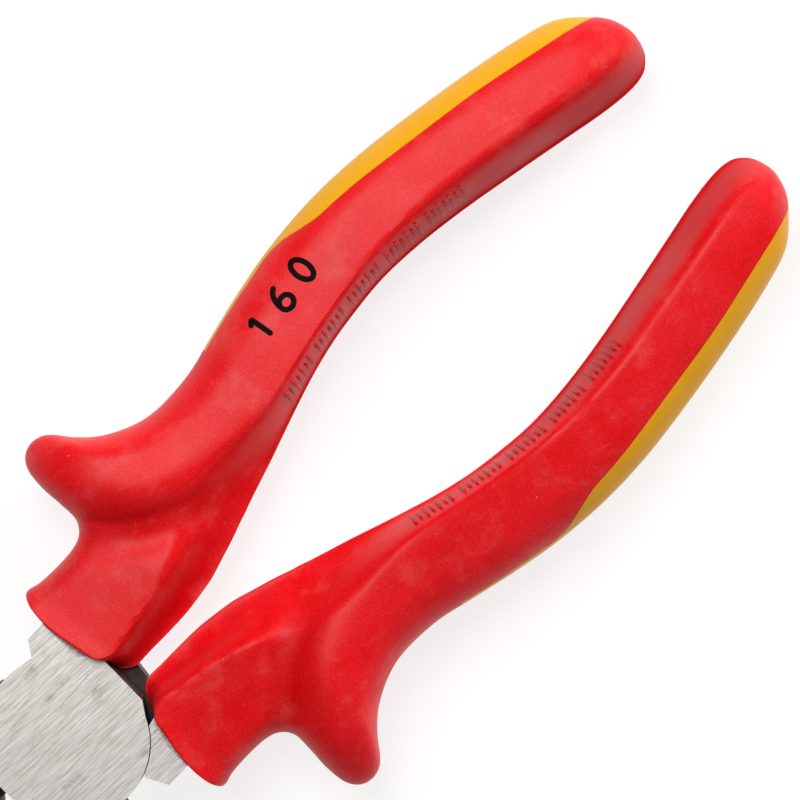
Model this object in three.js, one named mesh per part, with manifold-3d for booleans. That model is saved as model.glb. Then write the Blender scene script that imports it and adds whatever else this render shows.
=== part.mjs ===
// Lineman pliers of the 160 mm size with two-colour insulated grips.
//
// Units are millimetres. The pivot axis is Z. X runs towards the jaw tips and Y towards the handle of
// the back lever. Z = 0 is the ground back face of the joint, so the part lies on its grips a little
// below that plane.
//
// The two levers are the same forging turned over about the X axis. Each piece is therefore built once
// in a lever frame, whose origin is the middle of the joint: x towards the jaw tips, y towards the
// lever's own handle, and z = 0 between the two lap plates. The lever's own lap plate is below z = 0.
// The back lever stands in this frame as it is, and the front lever is turned half a turn about x.

import * as THREE from 'three';
import { mergeVertices } from 'three/addons/utils/BufferGeometryUtils.js';
import Module from 'manifold-3d';

// Joint ------------------------------------------------------------------------------------------
const JOINT_THICKNESS = 10;
const PLATE_RADIUS = 10.46; // round lap plate of either lever
const WING_RADIUS = 12.43; // wider rim of the front lever's plate on its handle side
const WING_HEAD_EDGE = 11; // where that rim is cut straight, next to the cutters
const WING_SWEEP = [-60, -230]; // degrees that the rim passes over, from the back handle's direction
const RUNNING_GAP = 0.3; // clearance between pieces
const RIVET_SHANK_RADIUS = 3.6;
const RIVET_HEAD_RADIUS = 5.2;
const RIVET_HEAD_DEPTH = 1.6;
const STOP_ANGLE = 71; // degrees from the handle direction to the step that stops the opening
const SHOULDER_ANGLE = 98; // degrees from the handle direction to the shoulder of the other jaw

// Jaws -------------------------------------------------------------------------------------------
const JAW_LENGTH = 38.7; // pivot to jaw tip
const JAW_TIP_WIDTH = 3.1; // of one jaw, in plan
const JAW_TIP_THICKNESS = 7.4;
const JAW_TAPER_START = 13;
const JAW_GAP = 0.3; // between the closed jaws
const SHOULDER_RADIUS = 13; // of the jaw's outer corner at the joint
const NOSE_START = 26.4; // flat serrated nose, from here to the tip
const NOSE_TEETH = 9;
const TOOTH_DEPTH = 0.45;
const PIPE_GRIP_CENTRE = 22.3;
const PIPE_GRIP_LENGTH = 8;
const PIPE_GRIP_HALF_WIDTH = 2.9;
const PIPE_GRIP_TEETH = 9;
const CUTTER_START = 13.4;
const CUTTER_END = PIPE_GRIP_CENTRE - PIPE_GRIP_LENGTH / 2;
const CUTTER_BEVEL_WIDTH = 2.6;
const RELIEF_DEPTH = 1.5; // hollow behind the cutters

// Tangs, the steel inside the handles ---------------------------------------------------------------
const TANG_EDGE = { front: 14.1, back: 13.2 }; // outer edge of the tang where it leaves the joint
const TANG_EDGE_REACH = 9.6; // distance behind the pivot at which that edge goes into the collar
const TANG_INNER_EDGE = 5.4; // inner edge of the tang where it enters the collar
const CROTCH_EDGE = 10.6; // straight edge of the plate between the handles
const CROTCH_CORNER = 10.86; // the same edge where it goes into the collar
const CROTCH_LUG = 12.7; // reach of the back plate's lug between the handles
const CROTCH_LUG_TOP = -1.4; // height of that lug in the lever frame
// Half thickness of the tang at places along x, from its end to its root.
const TANG_HALF_THICKNESS = [
  [-106, 2.5],
  [-30, 3],
  [-13, 3.5],
  [-8.6, JOINT_THICKNESS / 2],
  [0, JOINT_THICKNESS / 2],
];
// Distance behind the pivot, centre line offset and width in plan.
const TANG_BAR = [
  [12.5, 9.85, 8],
  [25, 10.7, 7.8],
  [35, 12.5, 7.2],
  [45, 15, 6.8],
  [55, 18, 6.4],
  [65, 20.6, 6],
  [75, 21.3, 5.8],
  [85, 20.7, 5.6],
  [95, 19, 5.4],
  [105, 17, 5],
];

// Grips --------------------------------------------------------------------------------------------
// Each section of the grip runs from a point on the inner edge to a point on the outer edge, given as
// distance behind the pivot and offset from the middle line. roundness is the width over which the
// outer side rounds off, facet is the width of the flat on the inner side, and bow is how far the
// section's middle stands out towards the joint, all in plan. scale thins the ends.
const GRIP_SECTIONS = [
  { inner: [10.15, 4.4], outer: [9.4, 17.9], roundness: 2.2, facet: 1.6, scale: 0.94, bow: 0.85 },
  { inner: [10.6, 3.4], outer: [9.5, 18.6], roundness: 2.6, facet: 1.9, bow: 0.85 },
  { inner: [11.6, 1.95], outer: [10.2, 18.75], roundness: 2.8, facet: 2.4, bow: 0.6 },
  { inner: [13, 1.15], outer: [11.9, 18.35], roundness: 2.8, facet: 2.7, scale: 0.98, bow: 0.3 },
  { inner: [15.5, 1.15], outer: [15, 18.2], roundness: 2.9, facet: 3.1, scale: 0.97, bow: 0.1 },
  { inner: [19, 1.15], outer: [18.2, 18.4], roundness: 3.1, facet: 3.6, scale: 0.97 },
  { inner: [22.5, 1.25], outer: [20.2, 19.2], roundness: 3.6, facet: 4.1, scale: 0.98 },
  { inner: [25.5, 1.6], outer: [21.4, 21], roundness: 4.5, facet: 4.5 },
  { inner: [28.5, 2.1], outer: [21.4, 24], roundness: 6.5, facet: 4.8 },
  { inner: [31, 2.85], outer: [21.2, 27], roundness: 8, facet: 5 },
  { inner: [33.5, 3.6], outer: [21.5, 30], roundness: 9, facet: 5 },
  { inner: [34.9, 4.05], outer: [22.6, 31.8], roundness: 9.4, facet: 5 },
  { inner: [36, 4.45], outer: [24.3, 32.55], roundness: 9.6, facet: 5 },
  { inner: [37, 4.8], outer: [26, 32.2], roundness: 9.4, facet: 4.9 },
  { inner: [38, 5.1], outer: [27.3, 31.2], roundness: 9, facet: 4.8 },
  { inner: [40, 5.8], outer: [29.2, 28.8], roundness: 8, facet: 4.6 },
  { inner: [42.5, 6.6], outer: [32, 26.3], roundness: 7.2, facet: 4.3 },
  { inner: [45.5, 7.55], outer: [36, 24.3], roundness: 6.6, facet: 3.9 },
  { inner: [49, 8.75], outer: [40, 23.5], roundness: 6.2, facet: 3.5 },
  { inner: [53, 10.1], outer: [46, 23.8], roundness: 6, facet: 3.1 },
  { inner: [58, 11.65], outer: [52, 25.2], roundness: 5.8, facet: 2.7 },
  { inner: [63, 12.85], outer: [59, 26.8], roundness: 5.6, facet: 2.5 },
  { inner: [68, 13.6], outer: [66, 28], roundness: 5.5, facet: 2.5 },
  { inner: [74, 14.1], outer: [74, 28.6], roundness: 5.5, facet: 2.7 },
  { inner: [81, 13.75], outer: [82, 28.35], roundness: 5.5, facet: 2.9 },
  { inner: [88.5, 12.75], outer: [90, 27.4], roundness: 5.5, facet: 3.1 },
  { inner: [97, 11.2], outer: [100, 25.8], roundness: 5.5, facet: 3.1 },
  { inner: [105, 9.65], outer: [109, 23.95], roundness: 5.5, facet: 3.1 },
  { inner: [111, 8.5], outer: [115, 22.1], roundness: 5.5, facet: 3, scale: 0.97 },
  { inner: [115.7, 8], outer: [118.7, 19], roundness: 5, facet: 2.8, scale: 0.88 },
  { inner: [118.6, 8.4], outer: [120.4, 16.9], roundness: 4, facet: 2.4, scale: 0.69 },
  { inner: [120.35, 9.8], outer: [121.2, 14.7], roundness: 2, facet: 1.6, scale: 0.41 },
  { inner: [121.1, 11.2], outer: [121.36, 13.5], roundness: 0.9, facet: 0.9, scale: 0.2 },
];
const GRIP_TIP = [121.4, 12.3];
// Share of a section's width at which its points lie, between the two edges.
const SECTION_STATIONS = [0.06, 0.15, 0.26, 0.4, 0.55, 0.69, 0.81, 0.91, 0.98];
const COLLAR_HALF_THICKNESS = 7;
const HANDLE_HALF_THICKNESS = 8.6;
const GUARD_EXTRA_THICKNESS = 2.7; // of the thumb guard over the handle
const GUARD_CREST = 27; // distance behind the pivot
const GUARD_CREST_SPREAD = 10;
// The crease between the flat collar and the thicker handle falls towards CREASE_FLOOR, and the handle
// climbs from it over VALLEY_WIDTH.
const CREASE_FLOOR = 9;
const CREASE_RISE = 12;
const CREASE_START = 21.5;
const CREASE_LENGTH = 8.2;
const VALLEY_WIDTH = 7.5;
const VALLEY_POWER = 2.6;
const FACE_FALL = 0.045; // how fast the face falls off towards the outer edge
const FACE_FALL_POWER = 1.5;
const FACET_HEIGHT_SHARE = 0.84; // of the half thickness
const SECTION_POWER = 2.3;

// The yellow inner layer, and the window in the outer edge of the red one that it shows through.
const SLEEVE_INNER_WALL = 3.4; // between the inner edge of the grip and the sleeve
const SLEEVE_OUTER_WALL = 2.1; // between the outer edge of the grip and the sleeve
const SLEEVE_THICKNESS_SHARE = 0.74; // of the grip's half thickness
const SLEEVE_START = 12;
const SLEEVE_END = 115.5;
const SLEEVE_STEPS = 18;
const SLEEVE_SECTION_POINTS = 16;
const SLEEVE_SQUARENESS = 0.85; // 1 is an ellipse, 0 a rectangle
// Outer edge of the sleeve under the thumb guard. Behind the guard it follows the grip's outer edge.
const SLEEVE_GUARD_EDGE = [
  [12, 18.4],
  [22, 18.9],
  [32, 21.7],
];
const PAST_GUARD_SECTION = 18; // first of GRIP_SECTIONS behind the guard
const WINDOW_SECTIONS = [19, 29]; // first of GRIP_SECTIONS along the window, and the one after its last
const WINDOW_START = 50;
// Inner edge of the window: distance behind the pivot, offset from the middle line.
const WINDOW_EDGE = [
  [50, 24.9],
  [54, 25.35],
  [58, 26.1],
  [62, 26.8],
  [65, 27.35],
  [67.5, 27.3],
  [70.5, 26.6],
  [73.5, 25.95],
  [77, 25.75],
  [82, 25.25],
  [90, 24.1],
  [100, 22.6],
  [110, 20.5],
  [116, 19.2],
  [119.4, 18.3],
  [123, 17.4],
];
const WINDOW_RIB_HALF_THICKNESS = 3;
const WINDOW_RIB_DEPTH = 3.4;
const OUTSIDE = 60; // reach of cutting solids past the part

// Finishes -----------------------------------------------------------------------------------------
const STEEL = { color: 0xb9b7b2, roughness: 0.4, metalness: 1 };
const RIVET_STEEL = { color: 0xa9a7a3, roughness: 0.35, metalness: 1 };
const YELLOW_LAYER = { color: 0xf2ae2c, roughness: 0.5, metalness: 0 };
const RED_LAYER = { color: 0xe4202f, roughness: 0.55, metalness: 0 };

const wasm = await Module();
wasm.setup();

// Solids -------------------------------------------------------------------------------------------

/** Turns a closed three.js geometry into a manifold solid. */
function solidOf(geometry) {
  const bare = new THREE.BufferGeometry();
  bare.setAttribute('position', geometry.getAttribute('position'));
  if (geometry.index) bare.setIndex(geometry.index);
  const merged = mergeVertices(bare, 1e-4);
  return new wasm.Manifold(
    new wasm.Mesh({
      numProp: 3,
      vertProperties: Float32Array.from(merged.getAttribute('position').array),
      triVerts: Uint32Array.from(merged.index.array),
    }),
  );
}

/** Turns a manifold solid back into a three.js geometry. */
function geometryOf(solid) {
  const mesh = solid.getMesh();
  const geometry = new THREE.BufferGeometry();
  geometry.setAttribute('position', new THREE.BufferAttribute(mesh.vertProperties, 3));
  geometry.setIndex(new THREE.BufferAttribute(mesh.triVerts, 1));
  geometry.computeVertexNormals();
  return geometry;
}

/** Extrudes an outline of [x, y] points from one height to another. */
function plate(outline, bottom, top) {
  const shape = new THREE.Shape(outline.map(([x, y]) => new THREE.Vector2(x, y)));
  const geometry = new THREE.ExtrudeGeometry(shape, { depth: top - bottom, bevelEnabled: false });
  return solidOf(geometry.translate(0, 0, bottom));
}

/** Extrudes an outline of [x, z] points right through the part along y. */
function sideProfile(outline) {
  const shape = new THREE.Shape(outline.map(([x, z]) => new THREE.Vector2(x, z)));
  const geometry = new THREE.ExtrudeGeometry(shape, { depth: 2 * OUTSIDE, bevelEnabled: false });
  return solidOf(geometry.rotateX(Math.PI / 2).translate(0, OUTSIDE, 0));
}

/** An upright cylinder about the pivot axis. */
function drum(radius, bottom, top, sides = 48) {
  const geometry = new THREE.CylinderGeometry(radius, radius, top - bottom, sides);
  return solidOf(geometry.rotateX(Math.PI / 2).translate(0, 0, (top + bottom) / 2));
}

/** A point about the pivot, at an angle in degrees from the lever's handle direction. */
function polar(radius, degrees) {
  const angle = THREE.MathUtils.degToRad(degrees);
  return [-radius * Math.cos(angle), radius * Math.sin(angle)];
}

/** Points of an arc about the pivot. */
function arc(radius, startAngle, endAngle, steps) {
  const turn = (endAngle - startAngle) / steps;
  return Array.from({ length: steps + 1 }, (_, i) => polar(radius, startAngle + turn * i));
}

/** A closed skin over rings of points, with a flat first end and a pointed last end. */
function loft(rings, tip) {
  const size = rings[0].length;
  const points = rings.flat();
  const middle = rings[0].reduce((sum, p) => sum.add(p), new THREE.Vector3()).divideScalar(size);
  const first = points.push(middle) - 1;
  const last = points.push(tip) - 1;
  const faces = [];
  for (let i = 0; i < size; i += 1) {
    const next = (i + 1) % size;
    faces.push(first, next, i);
    faces.push(last, last - 1 - size + i, last - 1 - size + next);
    for (let ring = 0; ring < rings.length - 1; ring += 1) {
      const near = ring * size;
      const far = near + size;
      faces.push(near + i, near + next, far + i);
      faces.push(near + next, far + next, far + i);
    }
  }
  const geometry = new THREE.BufferGeometry().setFromPoints(points);
  geometry.setIndex(faces);
  return solidOf(geometry);
}

/** Value at x of the line through a list of [x, y] points. */
function along(table, x) {
  const next = Math.max(1, table.findIndex(([end]) => end >= x));
  const [[x0, y0], [x1, y1]] = [table[next - 1], table[next]];
  return y0 + ((y1 - y0) * (x - x0)) / (x1 - x0);
}

// Levers -------------------------------------------------------------------------------------------

/** Zigzag from one [x, y] point to another, whose teeth stand out to the given side. */
function toothedLine([x0, y0], [x1, y1], teeth, depth) {
  const points = [];
  for (let i = 0; i <= teeth; i += 1) {
    const t = i / teeth;
    points.push([x0 + (x1 - x0) * t, y0 + (y1 - y0) * t]);
    if (i < teeth) points.push([x0 + (x1 - x0) * (t + 0.5 / teeth), y0 + (y1 - y0) * t - depth]);
  }
  return points;
}

/** Plan of one jaw, on the far side of the middle line from its handle. */
function jawOutline() {
  const face = -JAW_GAP / 2;
  const pipeStart = PIPE_GRIP_CENTRE - PIPE_GRIP_LENGTH / 2;
  const pipe = Array.from({ length: 2 * PIPE_GRIP_TEETH + 1 }, (_, i) => {
    const angle = (Math.PI * i) / (2 * PIPE_GRIP_TEETH);
    const depth = PIPE_GRIP_HALF_WIDTH + (i % 2 ? TOOTH_DEPTH : 0);
    return [
      PIPE_GRIP_CENTRE - (PIPE_GRIP_LENGTH / 2) * Math.cos(angle),
      face - depth * Math.sin(angle),
    ];
  });
  const back = new THREE.SplineCurve(
    [
      [JAW_LENGTH - 0.6, -JAW_TIP_WIDTH],
      [32, -5.3],
      [22, -8.7],
      [12, -11.4],
      [6, -12.5],
    ].map(([x, y]) => new THREE.Vector2(x, y)),
  );
  return [
    ...arc(SHOULDER_RADIUS, -SHOULDER_ANGLE - 8, -SHOULDER_ANGLE, 1),
    [0.6, -5],
    [WING_HEAD_EDGE - 1.2, -1.4 - RELIEF_DEPTH / 2],
    [WING_HEAD_EDGE, face - RELIEF_DEPTH],
    [CUTTER_START - 0.8, face - RELIEF_DEPTH],
    [CUTTER_START, face],
    [pipeStart - 0.3, face],
    ...pipe,
    ...toothedLine([NOSE_START, face], [JAW_LENGTH - 0.5, face], NOSE_TEETH, TOOTH_DEPTH),
    [JAW_LENGTH, face - 0.5],
    [JAW_LENGTH, -JAW_TIP_WIDTH + 0.7],
    ...back.getPoints(10).map(({ x, y }) => [x, y]),
  ];
}

/** Plan of the tang from the joint to the end of the bar inside the grip. */
function tangOutline(edge) {
  const side = (sign) => TANG_BAR.map(([behind, middle, width]) => [-behind, middle + (sign * width) / 2]);
  return [
    polar(edge - 2.3, STOP_ANGLE),
    polar(edge + 1, STOP_ANGLE - 2),
    [-TANG_EDGE_REACH, edge],
    ...side(1),
    ...side(-1).reverse(),
    [-CROTCH_EDGE, TANG_INNER_EDGE],
    [-7.5, 6],
  ];
}

/** Plan of the straight edge of a lap plate between the handles. */
function crotchOutline() {
  return [
    [-6, -2.4],
    [-CROTCH_EDGE + 0.28, -2.4],
    [-CROTCH_EDGE, -1.4],
    [-CROTCH_CORNER, 3.2],
    [-CROTCH_CORNER, TANG_INNER_EDGE + 0.5],
    [-4.4, 10.9],
    [-3.4, 9],
  ];
}

/** Plan of the back plate's lug, which fills the corner between the two collars. */
function crotchLugOutline() {
  return [
    [-6, -5.5],
    [-9.3, -5.3],
    [-9.9, -4.3],
    [-11.1, -2.2],
    [-CROTCH_LUG, -1],
    [-CROTCH_LUG, 1],
    [-11.2, 2],
    [-10.2, 4],
    [-6, 5.5],
  ];
}

/** A solid right across the part from its half thickness at places along x, each grown by a margin. */
function thicknessLimit(table, margin = 0) {
  const upper = table.map(([x, half]) => [x, half + margin]);
  return sideProfile([...upper, ...upper.map(([x, z]) => [x, -z]).reverse()]);
}

/** The jaw end of the forging in side view, as its half thickness along x. */
function jawHalfThickness() {
  const half = JOINT_THICKNESS / 2;
  return [
    [-OUTSIDE, half],
    [JAW_TAPER_START, half],
    [JAW_LENGTH + 1, JAW_TIP_THICKNESS / 2],
  ];
}

/** The bevels that leave a cutting edge at mid thickness. */
function cutterBevels() {
  const half = JOINT_THICKNESS / 2 + 1;
  const face = -JAW_GAP / 2;
  const shape = new THREE.Shape([
    new THREE.Vector2(face - 0.05, 0),
    new THREE.Vector2(face - CUTTER_BEVEL_WIDTH, -half),
    new THREE.Vector2(face + 2, -half),
    new THREE.Vector2(face + 2, half),
    new THREE.Vector2(face - CUTTER_BEVEL_WIDTH, half),
  ]);
  const start = CUTTER_START - 1;
  const geometry = new THREE.ExtrudeGeometry(shape, { depth: CUTTER_END - start, bevelEnabled: false });
  geometry.rotateX(Math.PI / 2).rotateZ(Math.PI / 2);
  return solidOf(geometry.translate(start, 0, 0));
}

/** One lever: jaw, lap plate and tang in one piece. */
function leverSolid({ edge, wing, lug }) {
  const half = JOINT_THICKNESS / 2;
  const seam = -RUNNING_GAP / 2;
  const jaw = plate(jawOutline(), -half, half).intersect(thicknessLimit(jawHalfThickness()));
  const tang = plate(tangOutline(edge), -half, half).intersect(thicknessLimit(TANG_HALF_THICKNESS));
  let solid = jaw.add(tang);
  solid = solid.subtract(drum(PLATE_RADIUS + RUNNING_GAP, seam, half + 1));
  if (!wing) {
    const sweep = arc(WING_RADIUS + RUNNING_GAP, ...WING_SWEEP, 24);
    solid = solid.subtract(plate([[0, 0], ...sweep], seam, half + 1));
  }
  solid = solid.add(drum(PLATE_RADIUS, -half, seam)).add(plate(crotchOutline(), -half, seam));
  if (wing) {
    const rim = arc(WING_RADIUS, STOP_ANGLE - 4, 180 - 27.8, 16);
    solid = solid.add(plate([[0, -4], ...rim, [WING_HEAD_EDGE, -4]], -half, seam));
  }
  if (lug) {
    solid = solid.add(plate(crotchLugOutline(), -half, CROTCH_LUG_TOP));
  }
  solid = solid.subtract(cutterBevels());
  const bore = drum(RIVET_SHANK_RADIUS + RUNNING_GAP, -half - 1, half + 1);
  const headSeat = drum(RIVET_HEAD_RADIUS + RUNNING_GAP, -half - 1, -half + RIVET_HEAD_DEPTH);
  return solid.subtract(bore).subtract(headSeat);
}

/** The joint's rivet, with a flush head in each plate. */
function rivetGeometry() {
  const half = JOINT_THICKNESS / 2;
  const headInside = half - RIVET_HEAD_DEPTH + RUNNING_GAP;
  const profile = [
    [0, -half],
    [RIVET_HEAD_RADIUS, -half],
    [RIVET_HEAD_RADIUS, -headInside],
    [RIVET_SHANK_RADIUS, -headInside],
    [RIVET_SHANK_RADIUS, headInside],
    [RIVET_HEAD_RADIUS, headInside],
    [RIVET_HEAD_RADIUS, half],
    [0, half],
  ].map(([radius, z]) => new THREE.Vector2(radius, z));
  return geometryOf(solidOf(new THREE.LatheGeometry(profile, 40).rotateX(Math.PI / 2)));
}

// Grips --------------------------------------------------------------------------------------------

/** Half thickness of the grip above a point of its plan, before its sides round off. */
function gripHalfThickness(behind, offset) {
  const fall = CREASE_RISE * Math.exp((CREASE_START - behind) / CREASE_LENGTH);
  const pastCrease = (offset - CREASE_FLOOR - fall) / Math.hypot(1, fall / CREASE_LENGTH);
  const climb = 1 - (1 - THREE.MathUtils.clamp(pastCrease / VALLEY_WIDTH, 0, 1)) ** VALLEY_POWER;
  const crest = Math.exp(-(((behind - GUARD_CREST) / GUARD_CREST_SPREAD) ** 2));
  const body = HANDLE_HALF_THICKNESS + GUARD_EXTRA_THICKNESS * crest;
  return THREE.MathUtils.lerp(COLLAR_HALF_THICKNESS, body, climb);
}

/** The ring of points of one grip section. */
function gripRing({ inner, outer, roundness, facet, scale = 1, bow = 0 }) {
  const width = Math.hypot(outer[0] - inner[0], outer[1] - inner[1]);
  const upper = SECTION_STATIONS.map((share) => {
    const behind = THREE.MathUtils.lerp(inner[0], outer[0], share) - 4 * bow * share * (1 - share);
    const offset = THREE.MathUtils.lerp(inner[1], outer[1], share);
    const fall = FACE_FALL * Math.max(0, share * width - facet) ** FACE_FALL_POWER;
    const full = (gripHalfThickness(behind, offset) - fall) * scale;
    const toOuter = Math.max(0, 1 - ((1 - share) * width) / roundness);
    const rounded = full * (1 - toOuter ** SECTION_POWER) ** (1 / SECTION_POWER);
    const onFacet = (FACET_HEIGHT_SHARE * full * share * width) / facet;
    return new THREE.Vector3(-behind, offset, Math.min(rounded, onFacet));
  });
  const lower = upper.map((p) => new THREE.Vector3(p.x, p.y, -p.z)).reverse();
  return [
    new THREE.Vector3(-inner[0], inner[1], 0),
    ...upper,
    new THREE.Vector3(-outer[0], outer[1], 0),
    ...lower,
  ];
}

/** The outside of the whole grip, both layers together. */
function gripOutside() {
  const tip = new THREE.Vector3(-GRIP_TIP[0], GRIP_TIP[1], 0);
  return loft(GRIP_SECTIONS.map(gripRing), tip);
}

/** The yellow sleeve round the tang, without its window rib. */
function sleeveOutside(margin) {
  const innerEdge = GRIP_SECTIONS.map(({ inner }) => inner);
  const pastGuard = GRIP_SECTIONS.slice(PAST_GUARD_SECTION).map(({ outer }) => outer);
  const outerEdge = [...SLEEVE_GUARD_EDGE, ...pastGuard];
  const start = SLEEVE_START - margin;
  const length = SLEEVE_END + margin - start;
  const rings = Array.from({ length: SLEEVE_STEPS + 1 }, (_, i) => {
    const behind = start + (length * i) / SLEEVE_STEPS;
    const station = Math.max(behind, SLEEVE_START);
    const low = along(innerEdge, station) + SLEEVE_INNER_WALL - margin;
    const high = along(outerEdge, station) - SLEEVE_OUTER_WALL + margin;
    const middle = (low + high) / 2;
    return Array.from({ length: SLEEVE_SECTION_POINTS }, (__, k) => {
      const angle = (2 * Math.PI * k) / SLEEVE_SECTION_POINTS;
      const flat = (value) => Math.sign(value) * Math.abs(value) ** SLEEVE_SQUARENESS;
      const offset = middle - (flat(Math.cos(angle)) * (high - low)) / 2;
      const tall = gripHalfThickness(behind, offset) * SLEEVE_THICKNESS_SHARE + margin;
      return new THREE.Vector3(-behind, offset, flat(Math.sin(angle)) * tall);
    });
  });
  const end = rings.at(-1).reduce((sum, p) => sum.add(p), new THREE.Vector3());
  return loft(rings, end.divideScalar(SLEEVE_SECTION_POINTS));
}

/** The solid that cuts the window in the red layer, and that leaves the yellow rib in it. */
function windowSolid(margin) {
  const edge = WINDOW_EDGE.map(([behind, offset]) => [-behind, offset - margin]);
  const strip = [...edge, [edge.at(-1)[0], OUTSIDE], [edge[0][0], OUTSIDE]];
  const sections = GRIP_SECTIONS.slice(...WINDOW_SECTIONS);
  const ribEdge = sections.map(({ outer: [behind, offset] }) => [-behind, offset - WINDOW_RIB_DEPTH]);
  ribEdge[0][0] = -WINDOW_START + margin;
  ribEdge.at(-1)[0] -= margin;
  const rib = [...ribEdge, [ribEdge.at(-1)[0], OUTSIDE], [ribEdge[0][0], OUTSIDE]];
  const ribHalf = WINDOW_RIB_HALF_THICKNESS + margin;
  return plate(strip, -OUTSIDE, OUTSIDE).add(plate(rib, -ribHalf, ribHalf));
}

/** The room that the tang and its lap plate take inside the layers round it. */
function tangRoom(edge) {
  const grown = TANG_BAR.map(([behind, middle, width]) => [behind, middle, width + 2 * RUNNING_GAP]);
  const side = (sign) => grown.map(([behind, middle, width]) => [-behind, middle + (sign * width) / 2]);
  const end = -TANG_BAR.at(-1)[0] - RUNNING_GAP;
  const mouth = -5;
  const outline = [
    [mouth, edge + RUNNING_GAP],
    [-TANG_EDGE_REACH, edge + RUNNING_GAP],
    ...side(1),
    [end, grown.at(-1)[1]],
    ...side(-1).reverse(),
    [-CROTCH_EDGE, TANG_INNER_EDGE - RUNNING_GAP],
    [mouth, TANG_INNER_EDGE - RUNNING_GAP],
  ];
  const plateCorner = [
    [mouth, 1],
    [-CROTCH_CORNER - RUNNING_GAP, 1],
    [-CROTCH_CORNER - RUNNING_GAP, 6.5],
    [mouth, 11],
  ];
  const bottom = -JOINT_THICKNESS / 2 - RUNNING_GAP;
  const limit = thicknessLimit(TANG_HALF_THICKNESS, RUNNING_GAP);
  const bar = plate(outline, -OUTSIDE, OUTSIDE).intersect(limit);
  return bar.add(plate(plateCorner, bottom, RUNNING_GAP));
}

/** The yellow layer: a sleeve round the tang, and the rib that fills the window. */
function sleeveSolid(edge) {
  const rib = gripOutside().intersect(windowSolid(0));
  return sleeveOutside(0).add(rib).subtract(tangRoom(edge));
}

/** The red layer: collar, thumb guard and handle, with the window in its outer edge. */
function gripSolid(edge) {
  return gripOutside()
    .subtract(sleeveOutside(RUNNING_GAP))
    .subtract(windowSolid(RUNNING_GAP))
    .subtract(tangRoom(edge));
}

// Assembly -----------------------------------------------------------------------------------------

/** Names a finished piece and gives it its material. */
function piece(name, geometry, finish) {
  const mesh = new THREE.Mesh(geometry, new THREE.MeshStandardMaterial(finish));
  mesh.name = name;
  return mesh;
}

/** One half of the pliers in the lever frame. */
function half(side, leverShape) {
  const group = new THREE.Group();
  group.add(
    piece(`${side}_lever`, geometryOf(leverSolid(leverShape)), STEEL),
    piece(`${side}_sleeve`, geometryOf(sleeveSolid(leverShape.edge)), YELLOW_LAYER),
    piece(`${side}_grip`, geometryOf(gripSolid(leverShape.edge)), RED_LAYER),
  );
  return group;
}

const frontHalf = half('front', {
  edge: TANG_EDGE.front,
  wing: true,
  lug: false,
});
frontHalf.rotation.x = Math.PI;

const backHalf = half('back', {
  edge: TANG_EDGE.back,
  wing: false,
  lug: true,
});
backHalf.add(piece('pivot_rivet', rivetGeometry(), RIVET_STEEL));

const pliers = new THREE.Group();
pliers.add(frontHalf, backHalf);
pliers.position.z = JOINT_THICKNESS / 2;

export default pliers;
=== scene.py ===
"""Lineman pliers of the 160 mm size, with two-colour insulated grips, lying on a pale table.

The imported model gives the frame: the pivot axis is Z, X runs towards the jaw tips, Y towards the handle
of the back lever, and Z = 0 is the ground back face of the joint. Both halves of the pliers are the same
shape turned over about X, so each piece is built once in a lever frame and then put on its side:
x towards the jaw tips, y towards the lever's own handle, and z = 0 between the two lap plates. The
sizes of the pieces are in millimetres, and a finished mesh is in metres.
"""

import logging
import math
from dataclasses import dataclass, field
from enum import Enum
from functools import partial
from typing import Any, Sequence

import bmesh
import bpy
import numpy as np
from mathutils import Matrix, Vector
from mathutils.bvhtree import BVHTree


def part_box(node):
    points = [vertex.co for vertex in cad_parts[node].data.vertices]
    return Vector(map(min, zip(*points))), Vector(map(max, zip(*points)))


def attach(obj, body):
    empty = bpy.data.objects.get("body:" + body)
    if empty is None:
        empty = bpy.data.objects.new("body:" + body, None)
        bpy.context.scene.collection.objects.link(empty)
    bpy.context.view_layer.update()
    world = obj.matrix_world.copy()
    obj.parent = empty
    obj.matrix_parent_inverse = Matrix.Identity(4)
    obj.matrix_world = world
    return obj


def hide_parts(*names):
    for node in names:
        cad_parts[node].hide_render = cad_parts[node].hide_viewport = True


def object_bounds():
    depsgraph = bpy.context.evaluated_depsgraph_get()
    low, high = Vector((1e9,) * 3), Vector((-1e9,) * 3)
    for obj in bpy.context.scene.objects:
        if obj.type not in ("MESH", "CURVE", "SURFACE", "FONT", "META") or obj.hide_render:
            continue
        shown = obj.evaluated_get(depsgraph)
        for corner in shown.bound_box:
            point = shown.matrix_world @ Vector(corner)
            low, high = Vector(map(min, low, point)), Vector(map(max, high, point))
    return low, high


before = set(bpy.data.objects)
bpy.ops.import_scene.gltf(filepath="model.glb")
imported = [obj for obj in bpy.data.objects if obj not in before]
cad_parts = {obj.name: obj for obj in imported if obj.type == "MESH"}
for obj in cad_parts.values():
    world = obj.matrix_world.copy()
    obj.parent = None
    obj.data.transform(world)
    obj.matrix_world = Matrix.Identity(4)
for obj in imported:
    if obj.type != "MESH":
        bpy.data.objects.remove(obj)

Plan = Sequence[tuple[float, float]]

MM = 0.001
FAR = 60.0  # Past the sides and faces of every piece, in millimetres.
CAD_BOX = [list(corner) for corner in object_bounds()]
HALF_JOINT = (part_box("pivot_rivet")[1].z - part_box("pivot_rivet")[0].z) / MM / 2
# Name of the point layer that holds the share of painted shade on the grip's inner panel.
PANEL_SHADE_LAYER = "panel"
LOG = logging.getLogger("pliers")


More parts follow.
